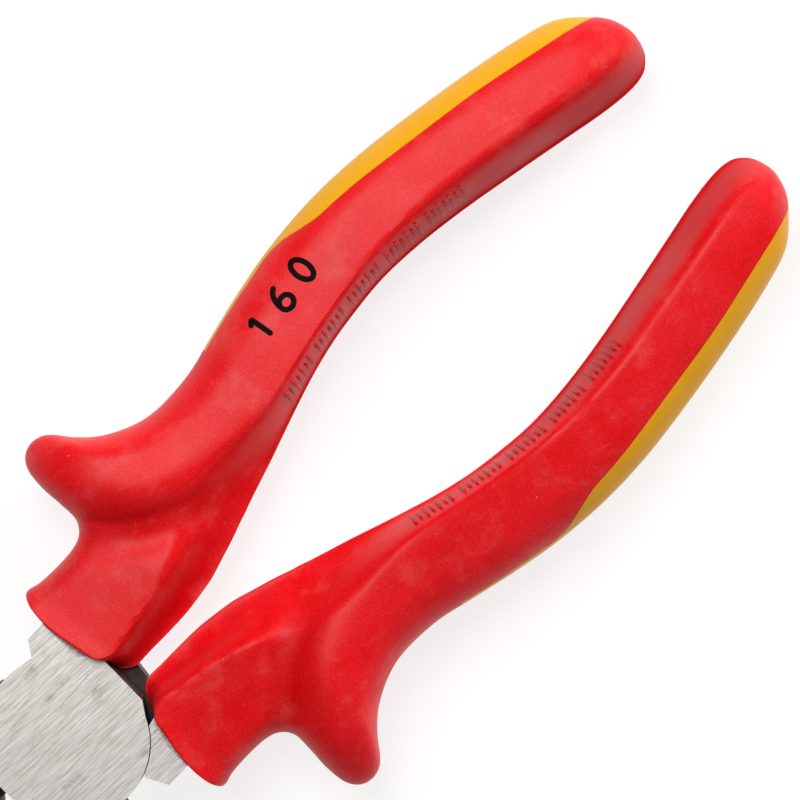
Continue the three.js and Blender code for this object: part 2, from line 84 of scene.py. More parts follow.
class Side(Enum):
    """The two halves of the pliers. The value is the name of the CAD body and the half turn about X."""

    FRONT = ("front_half", True)
    BACK = ("back_half", False)

    @property
    def label(self) -> str:
        """The word that starts the names of this side's pieces."""
        return self.name.lower()

    @property
    def body(self) -> str:
        """The CAD body that this side's pieces ride on."""
        return self.value[0]

    def placing(self) -> Matrix:
        """The matrix from the lever frame in millimetres to the CAD frame in metres."""
        turn = Matrix.Rotation(math.pi if self.value[1] else 0.0, 4, "X")
        lift = Matrix.Translation((0, 0, HALF_JOINT))
        return Matrix.Scale(MM, 4) @ lift @ turn


# Mesh tools ---------------------------------------------------------------------------------------


class Action(Enum):
    """What a tool does to a piece. The value is Blender's word for it."""

    JOIN = "UNION"
    CUT = "DIFFERENCE"
    TRIM = "INTERSECT"


def new_object(name: str, bm: bmesh.types.BMesh) -> bpy.types.Object:
    """Turns a bmesh into an object at the origin and frees the bmesh.

    Args:
        name: The object's name.
        bm: The mesh, which can't be used afterwards.

    Returns:
        The new object.
    """
    mesh = bpy.data.meshes.new(name)
    bm.to_mesh(mesh)
    bm.free()
    piece = bpy.data.objects.new(name, mesh)
    bpy.context.scene.collection.objects.link(piece)
    return piece


def prism(name: str, plan: Plan, bottom: float, top: float) -> bpy.types.Object:
    """Extrudes a closed plan upwards.

    Args:
        name: The object's name.
        plan: Corners of the plan in order, without repeating the first.
        bottom: Height of the lower face.
        top: Height of the upper face.

    Returns:
        A closed object.
    """
    bm = bmesh.new()
    corners = [bm.verts.new((x, y, bottom)) for x, y in plan]
    base = bm.faces.new(corners)
    raised = bmesh.ops.extrude_face_region(bm, geom=[base])["geom"]
    verts = [element for element in raised if isinstance(element, bmesh.types.BMVert)]
    bmesh.ops.translate(bm, vec=(0, 0, top - bottom), verts=verts)
    bmesh.ops.recalc_face_normals(bm, faces=bm.faces)
    return new_object(name, bm)


def drum(name: str, radius: float, bottom: float, top: float, sides: int = 180) -> bpy.types.Object:
    """An upright cylinder about the pivot axis.

    Args:
        name: The object's name.
        radius: Its radius.
        bottom: Height of the lower face.
        top: Height of the upper face.
        sides: Number of flats round it.

    Returns:
        A closed object.
    """
    bm = bmesh.new()
    bmesh.ops.create_cone(
        bm, cap_ends=True, segments=sides, radius1=radius, radius2=radius, depth=top - bottom
    )
    bmesh.ops.translate(bm, vec=(0, 0, (top + bottom) / 2), verts=bm.verts)
    return new_object(name, bm)


def slab(upper: Plan) -> bpy.types.Object:
    """The solid between a side view's upper line and its mirror below, wider than the part.

    Args:
        upper: The (x, z) corners of the upper line.

    Returns:
        A closed object that trims a piece to its thickness.
    """
    piece = prism("slab", [*upper, *((x, -z) for x, z in reversed(upper))], -FAR, FAR)
    piece.data.transform(Matrix.Rotation(math.pi / 2, 4, "X"))
    return piece


def boolean(piece: bpy.types.Object, tool: bpy.types.Object, action: Action) -> bpy.types.Object:
    """Joins, cuts or trims a piece with a tool, and removes the tool.

    Args:
        piece: The object that is changed.
        tool: The object that changes it.
        action: What the tool does.

    Returns:
        The changed piece.
    """
    modifier = piece.modifiers.new("tool", "BOOLEAN")
    modifier.operation = action.value
    modifier.solver = "MANIFOLD"
    modifier.object = tool
    graph = bpy.context.evaluated_depsgraph_get()
    mesh = bpy.data.meshes.new_from_object(piece.evaluated_get(graph))
    piece.modifiers.clear()
    old = piece.data
    piece.data = mesh
    bpy.data.meshes.remove(old)
    bpy.data.objects.remove(tool)
    return piece


def polar(radius: float, degrees: float) -> tuple[float, float]:
    """A point about the pivot, at an angle from the lever's handle direction."""
    angle = math.radians(degrees)
    return (-radius * math.cos(angle), radius * math.sin(angle))


def arc(radius: float, start: float, end: float, steps: int) -> list[tuple[float, float]]:
    """Points of an arc about the pivot.

    Args:
        radius: Radius of the arc.
        start: First angle in degrees from the lever's handle direction.
        end: Last angle in degrees.
        steps: Number of straight steps.

    Returns:
        steps + 1 points.
    """
    return [polar(radius, start + (end - start) * i / steps) for i in range(steps + 1)]


def catmull_rom(points: np.ndarray, steps: int) -> np.ndarray:
    """A smooth line through rows of numbers.

    Args:
        points: One row for each point that the line passes through.
        steps: Number of steps between two rows.

    Returns:
        The rows of the smooth line.
    """
    padded = np.vstack([2 * points[0] - points[1], points, 2 * points[-1] - points[-2]])
    t = (np.arange(steps) / steps)[:, None]
    rows = [
        b + 0.5 * t * (c - a + t * (2 * a - 5 * b + 4 * c - d + t * (3 * (b - c) + d - a)))
        for a, b, c, d in zip(padded, padded[1:], padded[2:], padded[3:])
    ]
    return np.vstack([*rows, points[-1]])


def add_skin(bm: bmesh.types.BMesh, points: np.ndarray) -> None:
    """Adds a closed skin through rings of points.

    Args:
        bm: The mesh that it joins.
        points: An array of rings, ring points and coordinates. A ring's last point repeats its first.
            The last ring may be a single point, repeated, or the first ring again.
    """
    rings, around = points.shape[0] - 1, points.shape[1] - 1
    grid = bmesh.ops.create_grid(bm, x_segments=around, y_segments=rings, size=0.5)["verts"]
    for vert in grid:
        column = round((vert.co.x + 0.5) * around)
        row = round((vert.co.y + 0.5) * rings)
        vert.co = points[row, column]
    bmesh.ops.remove_doubles(bm, verts=grid, dist=1e-4)
    rims = [edge for edge in bm.edges if edge.is_boundary]
    bmesh.ops.holes_fill(bm, edges=rims, sides=0)
    bmesh.ops.recalc_face_normals(bm, faces=bm.faces)


def skin(name: str, points: np.ndarray) -> bpy.types.Object:
    """The closed skin through rings of points, as an object of its own."""
    bm = bmesh.new()
    add_skin(bm, points)
    return new_object(name, bm)


def tree_of(piece: bpy.types.Object) -> BVHTree:
    """The search tree of a piece's surface, for rays and nearest points."""
    bm = bmesh.new()
    bm.from_mesh(piece.data)
    tree = BVHTree.FromBMesh(bm)
    bm.free()
    return tree


def shade_smooth(piece: bpy.types.Object, sharp_degrees: float) -> None:
    """Shades a piece smooth, except over edges that turn by more than an angle.

    Args:
        piece: The object.
        sharp_degrees: The smallest turn that stays sharp.
    """
    bm = bmesh.new()
    bm.from_mesh(piece.data)
    limit = math.radians(sharp_degrees)
    for face in bm.faces:
        face.smooth = True
    for edge in bm.edges:
        edge.smooth = edge.calc_face_angle(0.0) < limit
    bm.to_mesh(piece.data)
    bm.free()


def bevel(bm: bmesh.types.BMesh, edges: Sequence[bmesh.types.BMEdge], width: float) -> None:
    """Rounds edges of a mesh in two steps.

    Args:
        bm: The mesh.
        edges: Its edges to round.
        width: Width of the rounding.
    """
    bmesh.ops.bevel(
        bm, geom=edges, offset=width, offset_type="OFFSET", segments=2, profile=0.5,
        affect="EDGES", clamp_overlap=True, material=-1,
    )


def break_edges(
    piece: bpy.types.Object, width: float, sliver: float = 0.004, flat_degrees: float = 0.4,
    sharp_degrees: float = 28.0,
) -> None:
    """Joins the flat faces of a steel piece and rounds its sharp edges.

    Args:
        piece: The object, in millimetres.
        width: Width of the rounding.
        sliver: Distance within which two corners are one.
        flat_degrees: The largest turn between two faces that count as one.
        sharp_degrees: The smallest turn over an edge that is rounded.
    """
    bm = bmesh.new()
    bm.from_mesh(piece.data)
    bmesh.ops.remove_doubles(bm, verts=bm.verts, dist=sliver)
    bmesh.ops.dissolve_degenerate(bm, dist=sliver / 2, edges=bm.edges)
    flat = math.radians(flat_degrees)
    bmesh.ops.dissolve_limit(bm, angle_limit=flat, verts=bm.verts, edges=bm.edges, delimit=set())
    sharp = [edge for edge in bm.edges if edge.calc_face_angle(0.0) > math.radians(sharp_degrees)]
    bevel(bm, sharp, width)
    bm.to_mesh(piece.data)
    bm.free()


# Finishes -----------------------------------------------------------------------------------------


def linear(hex_colour: str) -> tuple[float, float, float, float]:
    """Turns an sRGB hex colour into the linear colour that a shader takes.

    Args:
        hex_colour: The colour as six hex digits.

    Returns:
        Red, green, blue and an alpha of one.
    """
    parts = [int(hex_colour[i : i + 2], 16) / 255 for i in (0, 2, 4)]
    red, green, blue = (p / 12.92 if p <= 0.04045 else ((p + 0.055) / 1.055) ** 2.4 for p in parts)
    return (red, green, blue, 1.0)


def add_node(
    tree: bpy.types.NodeTree, kind: str, inputs: dict[Any, Any] | Sequence[Any] = (), output: Any = 0,
    **settings: Any,
) -> bpy.types.NodeSocket | None:
    """Adds a shader node with its settings, and sets or links its inputs.

    Args:
        tree: The node tree.
        kind: The node's type, without the ShaderNode that it starts with.
        inputs: Values, or output sockets to link, in the inputs' order or by their name or number.
        output: Name or number of the output that is wanted.
        **settings: Properties of the node.

    Returns:
        The output that is wanted, or None from a node that has no outputs.
    """
    node = tree.nodes.new(f"ShaderNode{kind}")
    for name, value in settings.items():
        setattr(node, name, value)
    for socket, value in (inputs if isinstance(inputs, dict) else dict(enumerate(inputs))).items():
        if isinstance(value, bpy.types.NodeSocket):
            tree.links.new(value, node.inputs[socket])
        else:
            node.inputs[socket].default_value = value
    return node.outputs[output] if node.outputs else None


def pattern(
    tree: bpy.types.NodeTree, size_mm: float, detail: float = 2.0, stretch: Sequence[float] = (1, 1, 1),
    turn_degrees: float = 0.0, roughness: float = 0.5,
) -> bpy.types.NodeSocket:
    """A random pattern of a real size, most of whose values lie between 0.3 and 0.7.

    Args:
        tree: The node tree.
        size_mm: Size of the pattern's spots.
        detail: Number of finer layers.
        stretch: Factors by which the spots are longer along x, y and z.
        turn_degrees: Turn of the pattern about Z.
        roughness: Strength of the finer layers.

    Returns:
        The pattern's output.
    """
    place = add_node(tree, "TexCoord", output="Object")
    turned = add_node(tree, "Mapping", {"Vector": place, "Rotation": (0, 0, math.radians(turn_degrees))})
    per_spot = [1 / (size_mm * MM * longer) for longer in stretch]
    scaled = add_node(tree, "VectorMath", (turned, per_spot), operation="MULTIPLY")
    settings = {"Vector": scaled, "Scale": 1.0, "Detail": detail, "Roughness": roughness}
    return add_node(tree, "TexNoise", settings)


def lay_coats(
    tree: bpy.types.NodeTree, base: bpy.types.NodeSocket | str, *coats: tuple[bpy.types.NodeSocket, str]
) -> bpy.types.NodeSocket:
    """Lays coats of colour over one another.

    Args:
        tree: The node tree.
        base: The colour under them, as hex digits or an output socket.
        *coats: Each coat's share and its colour as hex digits.

    Returns:
        The colour on top.
    """
    top = linear(base) if isinstance(base, str) else base
    for share, coat in coats:
        top = add_node(tree, "Mix", {0: share, 6: top, 7: linear(coat)}, 2, data_type="RGBA")
    return top


class Finish:
    """A surface finish, which makes its material once."""

    name: str

    def material(self) -> bpy.types.Material:
        """The finish's material, made the first time that it is asked for."""
        known = bpy.data.materials.get(self.name)
        if known:
            return known
        made = bpy.data.materials.new(self.name)
        made.use_nodes = True
        made.node_tree.nodes.clear()
        add_node(made.node_tree, "OutputMaterial", {"Surface": self.shader(made.node_tree)})
        return made

    def shader(self, tree: bpy.types.NodeTree) -> bpy.types.NodeSocket:
        """Adds the nodes of the finish and gives their shader output."""
        raise NotImplementedError

    def dress(self, piece: bpy.types.Object) -> None:
        """Gives a piece this finish all over."""
        piece.data.materials.clear()
        piece.data.materials.append(self.material())


@dataclass(frozen=True)
class MouldedElastomer(Finish):
    """Injection-moulded insulation: a soft thermoplastic rubber from a spark-eroded mould.

    To the eye it is one strong colour with a fine dull grain and broad soft lights. The surface picks up
    pale scuffs and dust. A deeper red on the steep inner panel is painted shade, and a darker red on its
    raised ticks is painted shade too. The real grain is finer than grain_mm, which is as coarse as it
    needs to be to show.
    """

    name: str
    colour: str
    pale: str
    deep: str
    # Painted shade: the deeper red of the steep inner panel, which faces away from the lamps.
    panel: str = ""
    # Painted shade: the darker red of the raised ticks on the panel.
    tick_shade: str = ""
    dust: str = "F4A9A0"
    grain_mm: float = 0.24
    grain_depth_mm: float = 0.018
    mottle_mm: float = 7.0
    mottle_depth_mm: float = 0.12
    shade_mm: float = 11.0
    scuff_mm: float = 1.1
    scuff_stretch: float = 7.0
    patch_mm: float = 5.0
    speck_cell_mm: float = 1.6
    roughness: float = 0.46
    roughness_spread: float = 0.06
    specular: float = 0.26
    fleck: float = 0.14
    specks: bool = True

    def shader(self, tree: bpy.types.NodeTree) -> bpy.types.NodeSocket:
        """Mottled colour with pale scuffs and specks, and painted shade on the inner panel, over a fine
        grain.

        Args:
            tree: The node tree.

        Returns:
            The shader's output.
        """
        add = partial(add_node, tree)
        gentle = {"interpolation_type": "SMOOTHSTEP"}
        mottle = pattern(tree, self.mottle_mm, 3)
        grain = pattern(tree, self.grain_mm)
        cloud = add("MapRange", (mottle, 0.35, 0.7, 0.0, 0.55), **gentle)
        shade = add("MapRange", (pattern(tree, self.shade_mm), 0.5, 0.75, 0.0, 0.4), **gentle)
        colour = lay_coats(tree, self.colour, (cloud, self.pale), (shade, self.deep))
        fleck = add("MapRange", (grain, 0.3, 0.7, 1 - self.fleck, 1 + self.fleck))
        flecks = {0: 1.0, 6: colour, 7: add("CombineColor", (fleck, fleck, fleck))}
        colour = add("Mix", flecks, 2, data_type="RGBA", blend_type="MULTIPLY")
        scuffs = pattern(tree, self.scuff_mm, 3, (self.scuff_stretch, 1, 1), 20)
        worn = add("MapRange", (scuffs, 0.64, 0.8, 0.0, 0.06))
        patches = pattern(tree, self.patch_mm, 5, roughness=0.6)
        patch = add("MapRange", (patches, 0.5, 0.72, 0.0, 0.08), **gentle)
        worn = add("Math", (worn, patch), operation="ADD")
        peaks = add("MapRange", (grain, 0.56, 0.74, 0.0, 0.035))
        coats = [(add("Math", (worn, peaks), operation="ADD"), self.dust)]
        if self.specks:
            coats.append((self.speck_share(tree), self.dust))
        # Painted shade: a deeper red on the steep inner panel past the collar, and a darker red on its raised
        # ticks.
        if self.panel:
            share = add("Attribute", output="Fac", attribute_name=PANEL_SHADE_LAYER)
            coats.append((share, self.panel))
            coats.append((add("Math", (share, 1.0), operation="SUBTRACT"), self.tick_shade))
        low, high = self.roughness - self.roughness_spread, self.roughness + self.roughness_spread
        broad = {"Height": mottle, "Distance": self.mottle_depth_mm * MM, "Strength": 0.5}
        fine = {"Height": grain, "Distance": self.grain_depth_mm * MM, "Strength": 0.9}
        surface = {
            "Base Color": lay_coats(tree, colour, *coats),
            "Roughness": add("MapRange", (mottle, 0.3, 0.7, low, high)),
            "Specular IOR Level": self.specular,
            "Normal": add("Bump", {**fine, "Normal": add("Bump", broad)}),
        }
        return add("BsdfPrincipled", surface)

    def speck_share(self, tree: bpy.types.NodeTree) -> bpy.types.NodeSocket:
        """Share of pale dust specks: a small dot in a few cells of a fine cell pattern.

        Args:
            tree: The node tree.

        Returns:
            The share's output.
        """
        add = partial(add_node, tree)
        place = add("TexCoord", output="Object")
        distance = add("TexVoronoi", {"Vector": place, "Scale": 1 / (self.speck_cell_mm * MM)}, "Distance")
        dot = add("MapRange", (distance, 0.045, 0.075, 0.55, 0.0))
        chance = add("SeparateColor", (distance.node.outputs["Color"],))
        rare = add("Math", (chance, 0.93), operation="GREATER_THAN")
        return add("Math", (dot, rare), operation="MULTIPLY")


@dataclass(frozen=True)
class GroundToolSteel(Finish):
    """Forged chrome-vanadium steel: flat faces ground bright by a belt, and black oxide elsewhere.

    To the eye the faces are pale grey with fine scratches, a little off the tool's long axis, and some
    darker smudges, and the forged sides are almost black. The real scratches are finer than scratch_mm,
    which is as coarse as they need to be to show.
    """

    name: str = "ground chrome-vanadium steel"
    bright: str = "E9E6E2"
    scratch: str = "B4AFA8"
    smudge: str = "7C756E"
    oxide: str = "3C2A29"
    deep_oxide: str = "241C1C"
    scratch_mm: float = 0.1
    score_mm: float = 0.34
    scratch_stretch: tuple[float, float, float] = (34.0, 1.0, 6.0)
    smudge_mm: float = 2.6
    smudge_stretch: tuple[float, float, float] = (1.8, 1.0, 1.0)
    oxide_mm: float = 1.4
    pit_mm: float = 0.25
    wear_mm: float = 0.5
    belt_degrees: float = 3.0
    ground_depth_mm: float = 3.3
    ground_edge_mm: float = 0.1

    def shader(self, tree: bpy.types.NodeTree) -> bpy.types.NodeSocket:
        """Bright ground metal where a face is level and near the outside, dark oxide elsewhere.

        Args:
            tree: The node tree.

        Returns:
            The shader's output.
        """
        add = partial(add_node, tree)
        fine = pattern(tree, self.scratch_mm, 3, self.scratch_stretch, self.belt_degrees, 0.6)
        broad = pattern(tree, self.score_mm, 2, self.scratch_stretch, self.belt_degrees)
        smudge = pattern(tree, self.smudge_mm, 4, self.smudge_stretch, self.belt_degrees, 0.6)
        smudged = add("MapRange", (smudge, 0.58, 0.78, 0.0, 0.6), interpolation_type="SMOOTHSTEP")
        ground = {
            "Base Color": lay_coats(
                tree,
                self.bright,
                (add("MapRange", (fine, 0.4, 0.66, 0.0, 0.9)), self.scratch),
                (add("MapRange", (broad, 0.48, 0.72, 0.0, 0.4)), self.scratch),
                (smudged, self.smudge),
            ),
            "Metallic": 1.0,
            "Roughness": add("MapRange", (fine, 0.3, 0.7, 0.48, 0.62)),
            "Normal": add("Bump", {"Height": fine, "Distance": 0.012 * MM, "Strength": 0.55}),
        }
        cloud = add("MapRange", (pattern(tree, self.oxide_mm, 3), 0.4, 0.7))
        pits = pattern(tree, self.pit_mm, 3)
        forged = {
            "Base Color": lay_coats(tree, self.oxide, (cloud, self.deep_oxide)),
            "Metallic": 0.25,
            "Roughness": 0.5,
            "Normal": add("Bump", {"Height": pits, "Distance": 0.03 * MM, "Strength": 0.6}),
        }
        both = (add("BsdfPrincipled", surface) for surface in (forged, ground))
        return add("MixShader", (self.ground_share(tree), *both))

    def ground_share(self, tree: bpy.types.NodeTree) -> bpy.types.NodeSocket:
        """1 on the ground faces, 0 on forged and lapped ones, with a worn edge between.

        Args:
            tree: The node tree.

        Returns:
            The share's output.
        """
        add = partial(add_node, tree)
        upright, height = (
            add("SeparateXYZ", (add("TexCoord", output=kind),), "Z") for kind in ("Normal", "Object")
        )
        level = add("Math", (upright,), operation="ABSOLUTE")
        from_middle = add("Math", (height, HALF_JOINT * MM), operation="SUBTRACT")
        depth = add("Math", (from_middle,), operation="ABSOLUTE")
        wear = add("MapRange", (pattern(tree, self.wear_mm, 3), 0.3, 0.7, -0.04, 0.04))
        worn = add("Math", (level, wear), operation="ADD")
        flat = add("MapRange", (worn, 0.86, 0.96), interpolation_type="SMOOTHSTEP")
        start = (self.ground_depth_mm - self.ground_edge_mm) * MM
        outside = add("MapRange", (depth, start, self.ground_depth_mm * MM))
        return add("Math", (flat, outside), operation="MULTIPLY")


@dataclass(frozen=True)
class PadPrintInk(Finish):
    """Pad-printed ink. To the eye it is a thin dull black film that follows the grain under it."""

    name: str = "pad-printed ink"
    colour: str = "080506"
    thin: str = "230A0D"
    thin_mm: float = 0.3
    grain_mm: float = 0.2

    def shader(self, tree: bpy.types.NodeTree) -> bpy.types.NodeSocket:
        """Black with thin places that let the red through.

        Args:
            tree: The node tree.

        Returns:
            The shader's output.
        """
        add = partial(add_node, tree)
        thin = add("MapRange", (pattern(tree, self.thin_mm, 3), 0.5, 0.75))
        grain = pattern(tree, self.grain_mm)
        film = {
            "Base Color": lay_coats(tree, self.colour, (thin, self.thin)),
            "Roughness": 0.7,
            "Specular IOR Level": 0.08,
            "Normal": add("Bump", {"Height": grain, "Distance": 0.012 * MM, "Strength": 0.8}),
        }
        return add("BsdfPrincipled", film)


@dataclass(frozen=True)
class WhiteLaminate(Finish):
    """Matt white laminate on the table. To the eye it is plain and pale, with the part's soft shadow."""

    name: str = "white laminate"
    colour: str = "F4F4F4"
    glow: float = 0.13
    seen_colour: str = "8A8A8A"
    seen_glow: float = 0.8

    def shader(self, tree: bpy.types.NodeTree) -> bpy.types.NodeSocket:
        """A pale colour for the light on the part, and a brighter one for the camera and the metal.

        Args:
            tree: The node tree.

        Returns:
            The shader's output.
        """
        add = partial(add_node, tree)
        looks = []
        for colour, glow in ((self.colour, self.glow), (self.seen_colour, self.seen_glow)):
            dull = add("BsdfDiffuse", {"Color": linear(colour)})
            light = add("Emission", {"Color": linear("FFFFFF"), "Strength": glow})
            looks.append(add("AddShader", (dull, light)))
        camera = add("LightPath", output="Is Camera Ray")
        seen = add("Math", (camera, camera.node.outputs["Is Glossy Ray"]), operation="MAXIMUM")
        return add("MixShader", (seen, *looks))


# Saturated red that goes a little pink where it is scuffed, with a deeper red painted as shade on the inner
# panel and a darker red painted as shade on its ticks.
RED_LAYER = MouldedElastomer("moulded red TPE", "E6060F", "EA1C28", "D20208", panel="D2060F", tick_shade="C00610")
# Warm yellow, plainer and smoother than the red, because only the window's rib of it shows.
YELLOW_LAYER = MouldedElastomer(
    "moulded yellow TPE", "EEA70A", "EEAB12", "E69C04", dust="F4C060", grain_depth_mm=0.005,
    specular=0.17, fleck=0.05, specks=False,
)
STEEL = GroundToolSteel()
INK = PadPrintInk()


def hand_over(
    piece: bpy.types.Object, side: Side, finish: Finish, node: str = "",
    sharp_degrees: float = 32.0,
) -> bpy.types.Object:
    """Shades and dresses a piece, hangs it on its side's body, and hides the CAD node that it stands for.

    Args:
        piece: The piece, in the CAD frame.
        side: The half of the pliers that it moves with.
        finish: Its finish.
        node: The CAD node that it stands for, if there is one.
        sharp_degrees: The smallest turn between two faces that stays sharp.

    Returns:
        The same piece.
    """
    shade_smooth(piece, sharp_degrees)
    finish.dress(piece)
    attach(piece, side.body)
    if node:
        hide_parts(node)
    return piece


# Grips --------------------------------------------------------------------------------------------


@dataclass(frozen=True)
class Section:
    """One section of the grip, from its inner edge to its outer edge.

    The edges are given as distance behind the pivot and offset from the middle line. The roundness is the
    width over which the outer side rounds off, the facet is the width of the inner panel, the scale is
    the share of the full thickness, and the bow is how far the section curves towards the pivot.
    """

    inner: tuple[float, float]
    outer: tuple[float, float]
    roundness: float
    facet: float
    scale: float = 1.0
    bow: float = 0.0

    def row(self) -> list[float]:
        """The section's numbers in one row, for the smooth line through all sections."""
        return [*self.inner, *self.outer, self.roundness, self.facet, self.scale, self.bow]


GRIP_SECTIONS = (
    Section((10.15, 4.4), (9.4, 17.9), 2.2, 1.6, 0.94, 0.85),
    Section((10.6, 3.4), (9.5, 18.6), 2.6, 1.9, 1.0, 0.85),
    Section((11.6, 1.95), (10.2, 18.75), 2.8, 2.4, 1.0, 0.6),
    Section((13.0, 1.15), (11.9, 18.35), 2.8, 2.7, 0.98, 0.3),
    Section((15.5, 1.15), (15.0, 18.2), 2.9, 3.1, 0.97, 0.1),
    Section((19.0, 1.15), (18.2, 18.4), 3.1, 3.6, 0.97),
    Section((22.5, 1.25), (20.2, 19.2), 3.6, 4.1, 0.98),
    Section((25.5, 1.6), (21.4, 21.0), 4.5, 4.5),
    Section((28.5, 2.1), (21.4, 24.0), 6.5, 4.8),
    Section((31.0, 2.85), (21.2, 27.0), 8.0, 5.0),
    Section((33.5, 3.6), (21.5, 30.0), 9.0, 5.0),
    Section((34.9, 4.05), (22.6, 31.8), 9.4, 5.0),
    Section((36.0, 4.45), (24.3, 32.5), 9.6, 5.0),
    Section((37.0, 4.8), (26.0, 32.2), 9.4, 4.9),
    Section((38.0, 5.1), (27.3, 31.2), 9.0, 4.8),
    Section((40.0, 5.8), (29.2, 28.8), 8.0, 4.6),
    Section((42.5, 6.6), (32.0, 26.3), 7.2, 4.3),
    Section((45.5, 7.55), (36.0, 24.3), 6.6, 3.9),
    Section((49.0, 8.75), (40.0, 23.5), 6.2, 3.0),
    Section((53.0, 10.1), (46.0, 23.8), 6.0, 2.1),
    Section((58.0, 11.65), (52.0, 25.2), 5.8, 1.7),
    Section((63.0, 12.85), (59.0, 26.8), 5.6, 1.6),
    Section((68.0, 13.6), (66.0, 28.0), 5.5, 1.65),
    Section((74.0, 14.1), (74.0, 28.6), 5.5, 1.85),
    Section((81.0, 13.75), (82.0, 28.35), 5.5, 2.2),
    Section((88.5, 12.75), (90.0, 27.4), 5.5, 2.5),
    Section((97.0, 11.2), (100.0, 25.8), 5.5, 2.6),
    Section((105.0, 9.65), (109.0, 23.95), 5.5, 2.7),
    Section((111.0, 8.5), (115.0, 22.1), 5.5, 2.7, 0.97),
    Section((115.7, 8.0), (118.7, 19.0), 5.0, 2.6, 0.88),
    Section((118.6, 8.4), (120.4, 16.9), 4.0, 2.4, 0.69),
    Section((120.35, 9.8), (121.2, 14.7), 2.0, 1.6, 0.41),
    Section((121.1, 11.2), (121.36, 13.5), 0.9, 0.9, 0.2),
    Section((121.4, 12.3), (121.4, 12.3), 0.1, 0.1, 0.0),
)
PAST_GUARD = slice(18, None)
BESIDE_WINDOW = slice(19, 29)
BOW_PEAK = 27 / 4  # One over the largest value of share squared times (1 - share).


